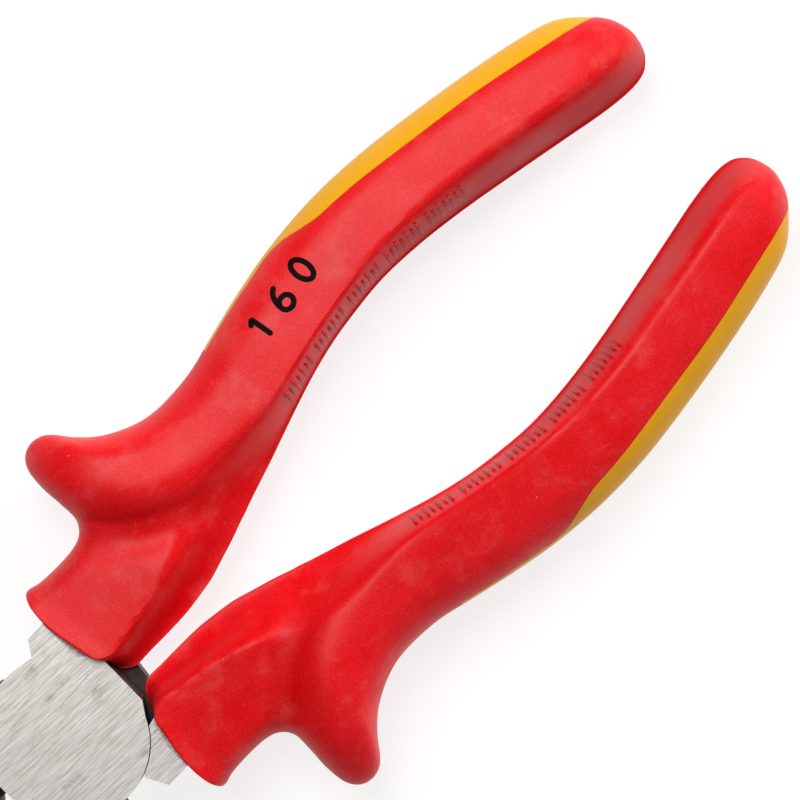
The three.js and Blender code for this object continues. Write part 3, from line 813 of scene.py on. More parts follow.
@dataclass(frozen=True)
class GripForm:
    """The outside of a grip, both insulation layers together, as rings of points.

    A section rises from its inner edge over a low rib and a panel, which blends into its rounded back.
    A valley runs from the collar round the foot of the thumb guard.
    """

    steps: int = 8
    samples: int = 700
    half_around: int = 60
    edge_weight: float = 4.0
    edge_reach: float = 1.3
    collar_half_thickness: float = 7.0
    handle_half_thickness: float = 8.6
    guard_extra: float = 2.38
    guard_crest: float = 27.0
    guard_spread: float = 10.0
    crease_floor: float = 9.0
    crease_rise: float = 12.0
    crease_start: float = 21.5
    crease_length: float = 8.2
    valley_width: float = 7.6
    valley_power: float = 2.9
    valley_fillet: float = 0.17
    valley_dip: float = 0.95
    dip_place: float = 2.6
    dip_spread: float = 2.2
    face_fall: float = 0.045
    power: float = 2.3
    detail_width: float = 8.0
    rib_start: float = 26.0
    rib_growth: float = 16.0
    rib_width: float = 0.3
    rib_height: float = 0.3
    rib_edge: float = 0.09
    rib_foot: float = 0.02
    facet_share: float = 0.84
    facet_softness: tuple[float, float] = (2.8, 6.0)
    facet_power: tuple[float, float] = (2.0, 1.15)

    def half_thickness(self, behind: np.ndarray, offset: np.ndarray) -> np.ndarray:
        """Half thickness of the grip above points of its plan, before its sides round off.

        Args:
            behind: Distances behind the pivot.
            offset: Offsets from the middle line.

        Returns:
            The half thicknesses.
        """
        fall = self.crease_rise * np.exp((self.crease_start - behind) / self.crease_length)
        past = (offset - self.crease_floor - fall) / np.hypot(1, fall / self.crease_length)
        u = past / self.valley_width
        climb = np.where(u > 0, 1 - np.clip(1 - u, 0, 1) ** self.valley_power, self.valley_power * u)
        soft = self.valley_fillet
        share = 0.5 * (climb + np.sqrt(climb**2 + soft**2)) - soft**2 / 4 * np.exp(-np.abs(u))
        dip = self.valley_dip * np.exp(-(((past + self.dip_place) / self.dip_spread) ** 2))
        crest = np.exp(-(((behind - self.guard_crest) / self.guard_spread) ** 2))
        body = self.handle_half_thickness + self.guard_extra * crest
        return self.collar_half_thickness - dip + (body - self.collar_half_thickness) * np.clip(share, 0, 1)

    def panel(
        self, along: np.ndarray, full: np.ndarray, facet: float, size: float, grown: float
    ) -> np.ndarray:
        """Height of the panel on the inner side, over the low rib at its edge.

        Args:
            along: Distances from the section's inner edge.
            full: Half thicknesses there.
            facet: Width of the panel.
            size: Share of the details' full size.
            grown: Share of the rib's growth along the handle.

        Returns:
            The heights.
        """
        rib_width = self.rib_width * size * grown
        rib_height = self.rib_height * size * grown
        rib = rib_height * (1 - np.exp(-along / (self.rib_edge * size)))
        past_rib = (along - rib_width) / max(facet - rib_width, 0.05)
        foot = self.rib_foot * grown
        steep = 0.5 * (past_rib + np.sqrt(past_rib**2 + foot)) - 0.5 * np.sqrt(foot) * np.exp(-along)
        power = np.interp(grown, (0, 1), self.facet_power)
        return rib + (self.facet_share * full - rib_height) * np.clip(steep, 0, None) ** power

    def section_line(self, row: np.ndarray) -> np.ndarray:
        """The upper half of a section as many fine points.

        Args:
            row: A section's numbers, as Section.row gives them.

        Returns:
            Four rows: distance behind the pivot, offset, height, and distance from the inner edge.
        """
        inner, outer = row[0:2], row[2:4]
        roundness, facet, scale, bow = row[4:8]
        width = max(float(np.hypot(*(outer - inner))), 1e-6)
        share = (1 - np.cos(np.linspace(0, np.pi, self.samples))) / 2
        behind = inner[0] + (outer[0] - inner[0]) * share - BOW_PEAK * bow * share**2 * (1 - share)
        offset = inner[1] + (outer[1] - inner[1]) * share
        along = share * width
        full = self.half_thickness(behind, offset)
        full = max(scale, 0.0) * (full - self.face_fall * np.clip(along - facet, 0, None) ** 1.5)
        to_outer = np.clip(1 - (width - along) / max(roundness, 0.05), 0, 1)
        rounded = full * (1 - to_outer**self.power) ** (1 / self.power)
        size = min(1.0, width / self.detail_width)
        grown = min(max((inner[0] - self.rib_start) / self.rib_growth, 0.0), 1.0)
        panel = self.panel(along, full, facet, size, grown)
        soft = np.interp(grown, (0, 1), self.facet_softness) * size
        blend = np.clip(0.5 + 0.5 * (panel - rounded) / soft, 0, 1)
        height = np.clip(panel * (1 - blend) + rounded * blend - soft * blend * (1 - blend), 0, None)
        height[0] = height[-1] = 0.0
        return np.stack([behind, offset, height, along])

    def ring(self, row: np.ndarray) -> np.ndarray:
        """One ring of the skin, with its points closer together near the inner edge.

        Args:
            row: A section's numbers, as Section.row gives them.

        Returns:
            Points of the ring, the last repeating the first.
        """
        behind, offset, height, along = self.section_line(row)
        length = np.concatenate([[0], np.cumsum(np.hypot(np.diff(along), np.diff(height)))])
        weight = 1 + self.edge_weight * np.exp(-((length / self.edge_reach) ** 2))
        pace = np.concatenate([[0], np.cumsum(np.diff(length) * weight[1:])])
        even = np.linspace(0, pace[-1], self.half_around + 1)
        upper = np.stack([np.interp(even, pace, values) for values in (-behind, offset, height)], axis=1)
        lower = upper[::-1] * np.array([1, 1, -1])
        return np.vstack([upper, lower[1:]])

    def rings(self) -> np.ndarray:
        """All rings of the skin, from the collar's mouth to the tip."""
        rows = catmull_rom(np.array([section.row() for section in GRIP_SECTIONS]), self.steps)
        return np.stack([self.ring(row) for row in rows])


@dataclass(frozen=True)
class Tang:
    """The steel bar inside a handle.

    The bar's stations are distance behind the pivot, offset and width.
    """

    edge: float
    bar: tuple[tuple[float, float, float], ...] = (
        (12.5, 9.85, 8.0), (25.0, 10.7, 7.8), (35.0, 12.5, 7.2), (45.0, 15.0, 6.8), (55.0, 18.0, 6.4),
        (65.0, 20.6, 6.0), (75.0, 21.3, 5.8), (85.0, 20.7, 5.6), (95.0, 19.0, 5.4), (105.0, 17.0, 5.0),
    )
    shoulder: float = 9.6
    inner_edge: float = 5.4
    crotch: float = 10.6
    half_thickness: Plan = ((-106, 2.5), (-30, 3.0), (-13, 3.5))
    root: float = 8.6

    def side(self, sign: int, margin: float = 0.0) -> Plan:
        """One long edge of the bar in plan.

        Args:
            sign: 1 for the outer edge and -1 for the inner one.
            margin: How far the edge is moved out.

        Returns:
            Corners from the joint to the end of the bar.
        """
        return [(-a, b + sign * (w / 2 + margin)) for a, b, w in self.bar]

    def limit(self, gap: float = 0.0) -> bpy.types.Object:
        """The solid between the tang's two faces.

        Args:
            gap: How far both faces are moved out.

        Returns:
            The trimming object.
        """
        line = (*self.half_thickness, (-self.root, HALF_JOINT), (0.0, HALF_JOINT))
        return slab([(x, z + gap) for x, z in line])

    def room(self, gap: float) -> bpy.types.Object:
        """The solid that leaves room for the tang in the layers round it.

        Args:
            gap: Clearance round the tang.

        Returns:
            The cutting object.
        """
        end = -self.bar[-1][0] - gap
        plan = [
            (-5, self.edge + gap),
            (-self.shoulder, self.edge + gap),
            *self.side(1, gap),
            (end, self.bar[-1][1]),
            *reversed(self.side(-1, gap)),
            (-self.crotch, self.inner_edge - gap),
            (-5, self.inner_edge - gap),
        ]
        room = boolean(prism("room", plan, -FAR, FAR), self.limit(gap), Action.TRIM)
        back = -self.crotch - 0.4 - gap
        corner = prism("corner", [(-5, 1), (back, 1), (back, 6.5), (-5, 11)], -HALF_JOINT - gap, gap)
        return boolean(room, corner, Action.JOIN)


@dataclass
class TickMarks:
    """A row of plain raised ticks on the panel of the grip's inner side, as on a rule.

    They stand in groups: one place in each group stays empty.
    """

    outside: BVHTree
    start: float = 53.5
    pitch: float = 0.95
    count: int = 40
    group: int = 8
    width: float = 0.4
    lengths: tuple[float, float] = (4.4, 3.0)
    height: float = 0.34
    rooted: float = 0.7
    level: float = 4.4
    bevel: float = 0.1

    def build(self) -> bpy.types.Object:
        """All ticks of one grip, as one object in the lever frame.

        Returns:
            The ticks, which reach a little into the grip.
        """
        bm = bmesh.new()
        shown = [i for i in range(self.count) if i % self.group < self.group - 1]
        for i in shown:
            for level in (self.level, -self.level):
                self.add_tick(bm, self.start + i * self.pitch, level, self.lengths[i % 2])
        return new_object("ticks", bm)

    def add_tick(self, bm: bmesh.types.BMesh, behind: float, level: float, length: float) -> None:
        """Adds one tick where a line at a height meets the panel.

        Args:
            bm: The mesh that it joins.
            behind: Distance behind the pivot.
            level: Height of its middle.
            length: Length across the panel.
        """
        place, normal, *_ = self.outside.ray_cast(Vector((-behind, -5, level)), Vector((0, 1, 0)))
        if place is None:
            return
        side = Vector((1, 0, 0)).cross(normal).normalized()
        turn = Matrix((normal.cross(side), side, normal)).transposed().to_4x4()
        middle = place + normal * (self.height - self.rooted) / 2
        size = Matrix.Diagonal((self.width, length, self.height + self.rooted, 1))
        made = bmesh.ops.create_cube(bm, size=1, matrix=Matrix.Translation(middle) @ turn @ size)
        edges = {edge for vert in made["verts"] for edge in vert.link_edges}
        bevel(bm, list(edges), self.bevel)


@dataclass
class Grip:
    """The two insulation layers on one tang: the yellow sleeve and the red grip over it."""

    side: Side
    tang: Tang
    form: GripForm = field(default_factory=GripForm)
    layer_gap: float = 0.03
    tang_gap: float = 0.1
    sleeve_inner_wall: float = 3.4
    sleeve_outer_wall: float = 2.1
    sleeve_share: float = 0.74
    sleeve_squareness: float = 0.85
    sleeve_start: float = 12.0
    sleeve_end: float = 115.5
    sleeve_shoulder: Plan = ((12.0, 18.4), (22.0, 18.9), (32.0, 21.7))
    sleeve_stations: int = 60
    sleeve_around: int = 48
    window_start: float = 50.0
    rib_half_thickness: float = 3.0
    rib_depth: float = 3.4
    # Where the painted shade of the inner panel begins and is full, and how softly it fades at the panel's
    # edge.
    panel_shade_start: tuple[float, float] = (58.0, 84.0)
    panel_shade_fade: float = 1.2
    tick_clearance: float = 0.1
    window_edge: Plan = (
        (50.0, 24.9), (54.0, 25.35), (58.0, 26.1), (62.0, 26.8), (65.0, 27.35), (67.5, 27.3),
        (70.5, 26.6), (73.5, 25.95), (77.0, 25.75), (82.0, 25.25), (90.0, 24.1), (100.0, 22.6),
        (110.0, 20.5), (116.0, 19.2), (119.4, 18.3), (123.0, 17.4),
    )

    def edge_table(self, edge: str) -> np.ndarray:
        """Points of the grip's inner or outer edge, in order along the handle."""
        return np.array([getattr(s, edge) for s in GRIP_SECTIONS])

    def sleeve(self, margin: float) -> bpy.types.Object:
        """The outside of the sleeve round the tang, without the rib in the window.

        Args:
            margin: How far the sleeve is moved out.

        Returns:
            A closed object.
        """
        inner = self.edge_table("inner")
        outer = np.vstack([self.sleeve_shoulder, self.edge_table("outer")[PAST_GUARD]])
        behind = np.linspace(self.sleeve_start - margin, self.sleeve_end + margin, self.sleeve_stations)
        station = np.maximum(behind, self.sleeve_start)
        low = np.interp(station, inner[:, 0], inner[:, 1]) + self.sleeve_inner_wall - margin
        high = np.interp(station, outer[:, 0], outer[:, 1]) - self.sleeve_outer_wall + margin
        middle, reach = (low + high)[:, None] / 2, (high - low)[:, None] / 2
        angle = np.linspace(0, 2 * np.pi, self.sleeve_around + 1)
        across = -np.sign(np.cos(angle)) * np.abs(np.cos(angle)) ** self.sleeve_squareness
        up = np.sign(np.sin(angle)) * np.abs(np.sin(angle)) ** self.sleeve_squareness
        offset = middle + reach * across
        behind = np.repeat(behind[:, None], angle.size, axis=1)
        tall = self.form.half_thickness(behind, offset) * self.sleeve_share + margin
        points = np.stack([-behind, offset, tall * up], axis=2)
        points[:, -1] = points[:, 0]
        return skin("sleeve", points)

    def window(self, margin: float) -> bpy.types.Object:
        """The solid that cuts the window in the red layer, or leaves the yellow rib in it.

        Args:
            margin: How far the window is moved out.

        Returns:
            The cutting object.
        """
        edge = catmull_rom(np.array(self.window_edge), 6)
        strip = [(-a, b - margin) for a, b in edge]
        plan = [*strip, (strip[-1][0], FAR), (strip[0][0], FAR)]
        rib = [(-a, b - self.rib_depth) for a, b in self.edge_table("outer")[BESIDE_WINDOW]]
        rib[0] = (-self.window_start + margin, rib[0][1])
        rib[-1] = (rib[-1][0] - margin, rib[-1][1])
        rib = [*rib, (rib[-1][0], FAR), (rib[0][0], FAR)]
        half = self.rib_half_thickness + margin
        return boolean(prism("window", plan, -FAR, FAR), prism("rib", rib, -half, half), Action.JOIN)

    def paint_panel_shade(self, piece: bpy.types.Object, plain: BVHTree) -> None:
        """Writes on each point its share of painted shade on the steep panel of the inner side.

        The share goes from 0 to 1 on the panel, and it is 2 on the raised ticks, which take a darker painted
        shade.

        Args:
            piece: The red grip, in the lever frame.
            plain: The skin without the ticks, which tells the ticks by their distance from it.
        """
        inner = self.edge_table("inner")
        facets = [section.facet for section in GRIP_SECTIONS]
        places = np.empty(3 * len(piece.data.vertices))
        piece.data.vertices.foreach_get("co", places)
        behind, offset = -places[0::3], places[1::3]
        along = offset - np.interp(behind, inner[:, 0], inner[:, 1])
        width = np.interp(behind, inner[:, 0], facets)
        near_edge = np.clip((width + self.panel_shade_fade / 2 - along) / self.panel_shade_fade, 0, 1)
        start, full = self.panel_shade_start
        share = near_edge * np.clip((behind - start) / (full - start), 0, 1)
        for vert in piece.data.vertices:
            if near_edge[vert.index] > 0 and plain.find_nearest(vert.co)[3] > self.tick_clearance:
                share[vert.index] = 2
        layer = piece.data.attributes.new(PANEL_SHADE_LAYER, "FLOAT", "POINT")
        layer.data.foreach_set("value", share)

    def build(self) -> list[bpy.types.Object]:
        """Builds, places and dresses both layers.

        Returns:
            The red grip and the yellow sleeve.
        """
        label = self.side.label
        rings = self.form.rings()
        red = skin(f"{label}_red_grip", rings)
        plain = tree_of(red)
        for tool in (self.sleeve(self.layer_gap), self.window(self.layer_gap), self.tang.room(self.tang_gap)):
            boolean(red, tool, Action.CUT)
        boolean(red, TickMarks(plain).build(), Action.JOIN)
        self.paint_panel_shade(red, plain)
        rib = boolean(skin("rib", rings), self.window(0.0), Action.TRIM)
        yellow = boolean(self.sleeve(0.0), rib, Action.JOIN)
        boolean(yellow, self.tang.room(self.tang_gap), Action.CUT)
        yellow.name = yellow.data.name = f"{label}_yellow_sleeve"
        for piece in (red, yellow):
            piece.data.transform(self.side.placing())
        return [
            hand_over(red, self.side, RED_LAYER, f"{label}_grip"),
            hand_over(yellow, self.side, YELLOW_LAYER, f"{label}_sleeve"),
        ]


@dataclass
class SizeNumber:
    """The tool's length in millimetres, pad-printed in plain digits on the front handle.

    A digit is a few strokes: lines of (x, y) points in a box one unit high, standing on y = 0.
    """

    number: str = "160"
    start: tuple[float, float] = (56.6, 18.5)
    slope_degrees: float = 9.6
    height: float = 4.25
    pitch: float = 4.75
    stroke: float = 0.76
    film: float = 0.03
    step: float = 0.12
    oval_steps: int = 40

    def oval(self, centre: tuple[float, float], reach: tuple[float, float], start: float, end: float) -> Plan:
        """Points of part of an oval.

        Args:
            centre: Its middle.
            reach: Half its width and half its height.
            start: First angle in degrees.
            end: Last angle in degrees.

        Returns:
            The points in order.
        """
        steps = range(self.oval_steps + 1)
        turns = [math.radians(start + (end - start) * i / self.oval_steps) for i in steps]
        return [(centre[0] + reach[0] * math.cos(t), centre[1] + reach[1] * math.sin(t)) for t in turns]

    def strokes(self, digit: str) -> list[Plan]:
        """The strokes of a digit: a 1, a 6, or else a 0."""
        if digit == "1":
            return [[(0.13, 0.76), (0.36, 0.915), (0.36, 0.085)]]
        if digit == "6":
            stem = self.oval((0.54, 0.31), (0.455, 0.605), 92, 180)
            return [stem, self.oval((0.33, 0.31), (0.245, 0.225), 0, 360)]
        return [self.oval((0.33, 0.5), (0.245, 0.415), 0, 360)]

    def build(self, grip: bpy.types.Object) -> bpy.types.Object:
        """Prints the number on a grip.

        Args:
            grip: The finished front grip.

        Returns:
            The print, as a closed thin film.
        """
        surface = tree_of(grip)
        bm = bmesh.new()
        for i, digit in enumerate(self.number):
            for line in self.strokes(digit):
                add_skin(bm, self.stroke_rings(surface, line, i * self.pitch))
        ink = new_object("front_size_number", bm)
        ink.data.transform(Matrix.Scale(MM, 4))
        return hand_over(ink, Side.FRONT, INK, sharp_degrees=50)

    def stroke_rings(self, surface: BVHTree, line: Plan, shift: float) -> np.ndarray:
        """One stroke as rings of points: a strip with round ends, pressed onto the grip.

        Args:
            surface: The grip's surface.
            line: The stroke's middle line, in digit heights.
            shift: How far along the handle the digit stands.

        Returns:
            The rings in millimetres, in the CAD frame.
        """
        points = np.array(line) * self.height
        lengths = np.concatenate([[0], np.cumsum(np.hypot(*np.diff(points, axis=0).T))])
        even = np.linspace(0, lengths[-1], max(8, round(lengths[-1] / self.step)))
        x, y = (np.interp(even, lengths, points[:, axis]) for axis in (0, 1))
        dx, dy = np.gradient(x), np.gradient(y)
        half = self.stroke / 2
        reach = np.full(even.size, half)
        if np.allclose(points[0], points[-1], atol=1e-6):
            dx[[0, -1]] = dx[1] + dx[-2]
            dy[[0, -1]] = dy[1] + dy[-2]
        else:
            to_end = np.minimum(even, lengths[-1] - even)
            reach *= np.sqrt(1 - np.clip(1 - to_end / half, 0, 0.97) ** 2)
        reach /= np.hypot(dx, dy)
        rings = []
        for i in range(even.size):
            sides = [reach[i] * share for share in (-1, -0.5, 0, 0.5, 1)]
            hits = [self.on_grip(surface, x[i] - dy[i] * s + shift, y[i] + dx[i] * s) for s in sides]
            upper = [place + normal * self.film for place, normal in hits]
            lower = [place - normal * self.film for place, normal in reversed(hits)]
            rings.append([*upper, *lower, upper[0]])
        return np.array(rings)

    def on_grip(self, surface: BVHTree, across: float, up: float) -> tuple[Vector, Vector]:
        """Where a point of the number lands on the grip.

        Args:
            surface: The grip's surface, in metres.
            across: Distance along the line of digits.
            up: Height above that line.

        Returns:
            The place in millimetres and the surface's direction there.
        """
        angle = math.radians(self.slope_degrees)
        behind = self.start[0] + across * math.cos(angle) - up * math.sin(angle)
        offset = self.start[1] + across * math.sin(angle) + up * math.cos(angle)
        place, normal, *_ = surface.ray_cast(Vector((-behind, -offset, 100)) * MM, Vector((0, 0, -1)))
        return place / MM, normal


# Levers -------------------------------------------------------------------------------------------


@dataclass
class Lever:
    """One lever: jaw, lap plate and tang in one forging.

    The front lever has a wing on its plate, and the back lever a lug that closes the crotch.
    """

    side: Side
    tang: Tang
    wing: bool
    lug: bool
    plate_radius: float = 10.46
    wing_radius: float = 12.43
    head_edge: float = 11.0
    gap: float = 0.14
    stop_angle: float = 71.0
    stop_lean: float = 2.0
    shoulder_angle: float = 98.0
    shoulder_radius: float = 13.0
    jaw_length: float = 38.7
    jaw_tip_width: float = 3.1
    jaw_tip_half_thickness: float = 3.7
    jaw_taper_start: float = 13.0
    jaw_face: float = -0.12
    jaw_back: Plan = ((32, -5.3), (22, -8.7), (12, -11.4), (6, -12.5), (2.6, -12.75))
    nose_start: float = 26.4
    nose_teeth: int = 9
    tooth_depth: float = 0.45
    pipe_centre: float = 22.3
    pipe_length: float = 8.0
    pipe_half_width: float = 2.9
    pipe_teeth: int = 9
    cutter_start: float = 13.4
    bevel_width: float = 2.6
    relief_depth: float = 1.5
    wing_end: float = 152.2
    wing_room: tuple[float, float] = (-60.0, -230.0)
    crotch_plan: Plan = (
        (-6, -4.6), (-9.5, -4.45), (-10.15, -3.5), (-10.72, -2.65), (-10.86, 3.2), (-10.86, 5.9),
        (-4.4, 10.9), (-3.4, 9),
    )
    lug_plan: Plan = (
        (-6, -5.5), (-9.9, -5.3), (-10.7, -4.3), (-12.1, -2.2), (-13, -1.25), (-12.7, 1.0),
        (-12.1, 1.9), (-10.7, 4.0), (-6, 5.5),
    )
    lug_top: float = -1.4
    rivet_bore: float = 5.2
    rivet_gap: float = 0.004
    edge_break: float = 0.14

    def nose(self) -> Plan:
        """The serrated flat of the nose, as a zigzag.

        Returns:
            Corners of its plan, towards the tip.
        """
        end = self.jaw_length - 0.5
        pitch = (end - self.nose_start) / self.nose_teeth
        points = []
        for i in range(self.nose_teeth):
            start = self.nose_start + i * pitch
            points += [(start, self.jaw_face), (start + pitch / 2, self.jaw_face - self.tooth_depth)]
        return [*points, (end, self.jaw_face)]

    def pipe_grip(self) -> Plan:
        """The serrated oval hollow, as a zigzag.

        Returns:
            Corners of its plan, towards the tip.
        """
        points = []
        for i in range(2 * self.pipe_teeth + 1):
            angle = math.pi * i / (2 * self.pipe_teeth)
            depth = self.pipe_half_width + (self.tooth_depth if i % 2 else 0)
            across = self.pipe_length / 2 * math.cos(angle)
            points.append((self.pipe_centre - across, self.jaw_face - depth * math.sin(angle)))
        return points

    def jaw_plan(self) -> Plan:
        """Plan of the jaw, on the far side of the middle line from its handle.

        Returns:
            Corners from the shoulder along the biting face to the tip, and back along the jaw's back.
        """
        back = np.array([(self.jaw_length - 0.6, -self.jaw_tip_width), *self.jaw_back])
        face = self.jaw_face
        return [
            polar(self.shoulder_radius, -self.shoulder_angle),
            (0.6, -5),
            (self.head_edge - 1.2, -1.4 - self.relief_depth / 2),
            (self.head_edge, face - self.relief_depth),
            (self.cutter_start - 0.8, face - self.relief_depth),
            (self.cutter_start, face),
            (self.pipe_centre - self.pipe_length / 2 - 0.3, face),
            *self.pipe_grip(),
            *self.nose(),
            (self.jaw_length, face - 0.5),
            (self.jaw_length, 0.7 - self.jaw_tip_width),
            *((x, y) for x, y in catmull_rom(back, 8)),
        ]

    def tang_plan(self) -> Plan:
        """Plan of the tang from the joint to the end of the bar inside the grip.

        Returns:
            Corners out along the outer edge and back along the inner one.
        """
        return [
            polar(self.tang.edge - 2.3, self.stop_angle),
            polar(self.tang.edge + 1, self.stop_angle - self.stop_lean),
            (-self.tang.shoulder, self.tang.edge),
            *self.tang.side(1),
            *reversed(self.tang.side(-1)),
            (-self.tang.crotch, self.tang.inner_edge),
            (-7.5, 6),
        ]

    def jaw_limit(self) -> bpy.types.Object:
        """The solid between the two faces of the jaw, which thins towards its tip."""
        tip = (self.jaw_length + 1, self.jaw_tip_half_thickness)
        return slab([(-self.jaw_length, HALF_JOINT), (self.jaw_taper_start, HALF_JOINT), tip])

    def cutter_bevels(self) -> bpy.types.Object:
        """The solid whose two slopes leave a cutting edge at mid thickness.

        Returns:
            The cutting object.
        """
        reach = HALF_JOINT + 1
        low = self.jaw_face - self.bevel_width
        corners = [(0.0, self.jaw_face - 0.02), (-reach, low), (-reach, 2), (reach, 2), (reach, low)]
        start = self.cutter_start - 1
        end = self.pipe_centre - self.pipe_length / 2
        piece = prism("bevels", corners, start, end)
        piece.data.transform(Matrix(((0, 0, 1, 0), (0, 1, 0, 0), (1, 0, 0, 0), (0, 0, 0, 1))))
        piece.data.flip_normals()
        return piece

    def add_plate(self, lever: bpy.types.Object) -> None:
        """Clears the other lever's room in the joint, and adds this lever's plate, wing and lug.

        Args:
            lever: The jaw and the tang, in the lever frame.
        """
        half, seam = HALF_JOINT, -self.gap / 2
        boolean(lever, drum("room", self.plate_radius + self.gap, seam, half + 1), Action.CUT)
        if not self.wing:
            rim = arc(self.wing_radius + self.gap, *self.wing_room, 120)
            boolean(lever, prism("wing room", [(0, 0), *rim], seam, half + 1), Action.CUT)
        boolean(lever, drum("plate", self.plate_radius, -half, seam), Action.JOIN)
        additions = [("crotch", self.crotch_plan, seam)]
        if self.wing:
            rim = arc(self.wing_radius, self.stop_angle - 4, self.wing_end, 60)
            additions.append(("wing", [(0, -4), *rim, (self.head_edge, -4)], seam))
        if self.lug:
            additions.append(("lug", self.lug_plan, self.lug_top))
        for name, plan, top in additions:
            boolean(lever, prism(name, plan, -half, top), Action.JOIN)

    def build(self) -> bpy.types.Object:
        """Builds, places and dresses the lever.

        Returns:
            The finished lever.
        """
        half, label = HALF_JOINT, self.side.label
        lever = prism(f"{label}_forged_lever", self.jaw_plan(), -half, half)
        boolean(lever, self.jaw_limit(), Action.TRIM)
        tang = boolean(prism("tang", self.tang_plan(), -half, half), self.tang.limit(), Action.TRIM)
        boolean(lever, tang, Action.JOIN)
        self.add_plate(lever)
        boolean(lever, self.cutter_bevels(), Action.CUT)
        boolean(lever, drum("bore", self.rivet_bore + self.rivet_gap, -half - 1, half + 1), Action.CUT)
        break_edges(lever, self.edge_break)
        lever.data.transform(self.side.placing())
        return hand_over(lever, self.side, STEEL, f"{label}_lever", sharp_degrees=15)


@dataclass
class Rivet:
    """The joint's rivet, ground flush with both plates."""

    radius: float = 5.2
    sides: int = 160
    edge_break: float = 0.014

    def build(self) -> bpy.types.Object:
        """Builds, places and dresses the rivet.

        Returns:
            The finished rivet.
        """
        rivet = drum("flush_rivet", self.radius, -HALF_JOINT, HALF_JOINT, self.sides)
        break_edges(rivet, self.edge_break)
        rivet.data.transform(Side.BACK.placing())
        return hand_over(rivet, Side.BACK, STEEL, "pivot_rivet", sharp_degrees=15)


# Studio -------------------------------------------------------------------------------------------


@dataclass(frozen=True)
class SoftBox:
    """A square lamp that faces the handles.

    Its place is given from the point that it faces, in metres: to the camera's right, towards the top
    of its view, and up from the table.
    """

    name: str
    right: float
    top: float
    height: float
    size: float
    power: float
    mirrored: bool = True
    diffuse: bool = True


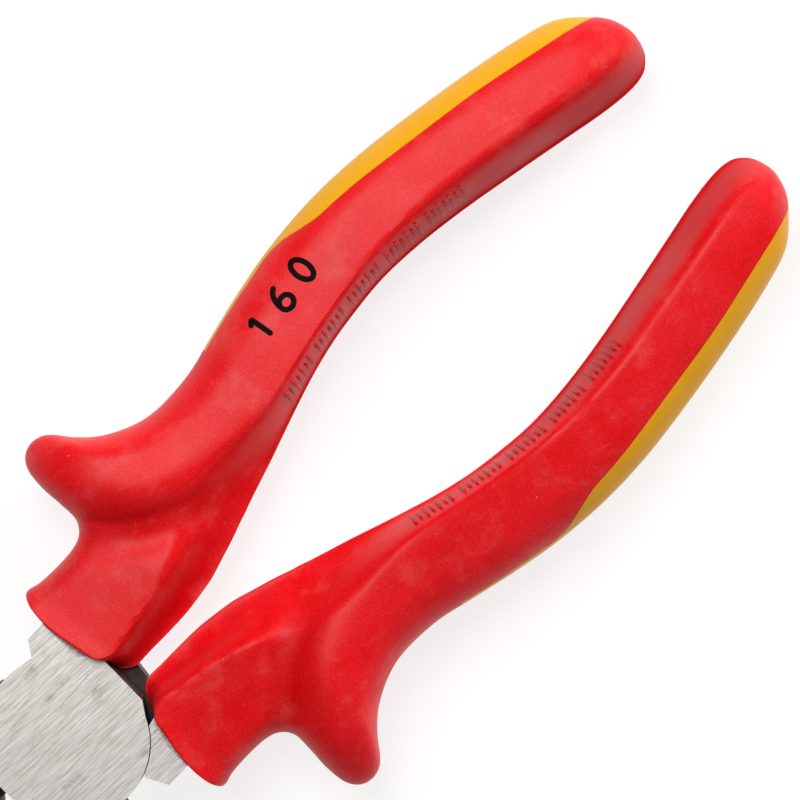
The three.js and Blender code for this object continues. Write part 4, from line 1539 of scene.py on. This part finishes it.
@dataclass
class Studio:
    """The pale table, the soft boxes and the camera above the handles."""

    lens_mm: float = 150.0
    sensor_mm: float = 36.0
    view_width_mm: float = 108.7
    aim_behind_pivot_mm: float = 63.74
    aim_offset_mm: float = 0.86
    turn_degrees: float = 45.5
    focus_height_mm: float = 5.0
    table_size: float = 4.0
    sky_fill: float = 0.09
    wall: float = 0.12
    ceiling: float = 0.24
    wall_heights: tuple[float, float] = (0.1, 0.6)
    soft_boxes: tuple[SoftBox, ...] = (
        SoftBox("key soft box", -0.09, 0.14, 0.36, size=0.22, power=1.16),
        SoftBox("end soft box", 0.3329, 0.3995, 0.2, size=0.3, power=1.9, mirrored=False),
        SoftBox("rim soft box", 0.2945, 0.3534, 0.34, size=0.36, power=0.45, diffuse=False),
        SoftBox("side soft box", 0.4096, -0.2867, 0.16, size=0.3, power=0.45, mirrored=False),
    )

    def directions(self) -> tuple[Vector, Vector]:
        """The directions on the table to the camera's right and towards the top of its view."""
        angle = math.radians(self.turn_degrees)
        cosine, sine = math.cos(angle), math.sin(angle)
        return Vector((-cosine, sine, 0)), Vector((-sine, -cosine, 0))

    def camera(self) -> None:
        """Puts the camera straight above the handles, turned so that they run up to the right."""
        data = bpy.data.cameras.new("camera")
        data.lens = self.lens_mm
        data.sensor_width = self.sensor_mm
        camera = bpy.data.objects.new("camera", data)
        bpy.context.scene.collection.objects.link(camera)
        height = self.view_width_mm * self.lens_mm / self.sensor_mm + self.focus_height_mm
        right, top = self.directions()
        place = Matrix((right, top, right.cross(top))).transposed().to_4x4()
        place.translation = Vector((-self.aim_behind_pivot_mm, -self.aim_offset_mm, height)) * MM
        camera.matrix_world = place
        bpy.context.scene.camera = camera

    def lamp(self, box: SoftBox) -> None:
        """Hangs one soft box.

        Args:
            box: Its place, size and power.
        """
        right, top = self.directions()
        reach = right * box.right + top * box.top + Vector((0, 0, box.height))
        data = bpy.data.lights.new(box.name, "AREA")
        data.shape = "SQUARE"
        data.size = box.size
        data.energy = box.power
        lamp = bpy.data.objects.new(box.name, data)
        lamp.location = reach - Vector((self.aim_behind_pivot_mm * MM, 0, 0))
        lamp.rotation_euler = (-reach).to_track_quat("-Z", "Y").to_euler()
        lamp.visible_glossy = box.mirrored
        lamp.visible_diffuse = box.diffuse
        bpy.context.scene.collection.objects.link(lamp)

    def table(self, height: float) -> None:
        """Lays the table under the part.

        Args:
            height: Height of its top in metres.
        """
        bm = bmesh.new()
        bmesh.ops.create_grid(bm, x_segments=1, y_segments=1, size=self.table_size / 2)
        bmesh.ops.translate(bm, vec=(0, 0, height), verts=bm.verts)
        table = new_object("table", bm)
        WhiteLaminate().dress(table)

    def world(self) -> None:
        """A plain sky that fills the shadows, looks white to the camera, and is dimmer in reflections."""
        world = bpy.data.worlds.new("studio")
        world.use_nodes = True
        world.node_tree.nodes.clear()
        add = partial(add_node, world.node_tree)
        upwards = add("SeparateXYZ", (add("TexCoord", output="Generated"),), "Z")
        low, high = self.wall_heights
        wall = add(
            "MapRange", (upwards, low, high, self.wall, self.ceiling), interpolation_type="SMOOTHSTEP"
        )
        camera = add("LightPath", output="Is Camera Ray")
        rays = [camera.node.outputs[f"Is {kind} Ray"] for kind in ("Glossy", "Transmission")]
        strength = add("Mix", {0: add("Math", rays, operation="MAXIMUM"), 2: self.sky_fill, 3: wall})
        strength = add("Mix", {0: camera, 2: strength, 3: 1.0})
        sky = add("Background", {"Color": linear("FFFFFF"), "Strength": strength})
        add("OutputWorld", {"Surface": sky})
        bpy.context.scene.world = world

    def build(self, lowest: float) -> None:
        """Makes the camera, the lamps, the table and the sky.

        Args:
            lowest: Height of the part's lowest point in metres.
        """
        self.camera()
        for box in self.soft_boxes:
            self.lamp(box)
        self.table(lowest)
        self.world()
        bpy.context.scene.view_settings.view_transform = "Standard"


def main() -> None:
    """Builds the pliers and the studio."""
    logging.basicConfig(level=logging.INFO, format="%(message)s")
    Studio().build(lowest=CAD_BOX[0][2])
    front_tang = Tang(edge=14.1)
    back_tang = Tang(edge=13.2)
    front_grip, front_sleeve = Grip(Side.FRONT, front_tang).build()
    pieces = [
        Lever(Side.FRONT, front_tang, wing=True, lug=False, stop_lean=3.3).build(),
        Lever(Side.BACK, back_tang, wing=False, lug=True).build(),
        Rivet().build(),
        front_grip,
        front_sleeve,
        *Grip(Side.BACK, back_tang).build(),
        SizeNumber().build(front_grip),
    ]
    for piece in pieces:
        LOG.info("%s: %d faces", piece.name, len(piece.data.polygons))


if __name__ == "__main__":
    main()
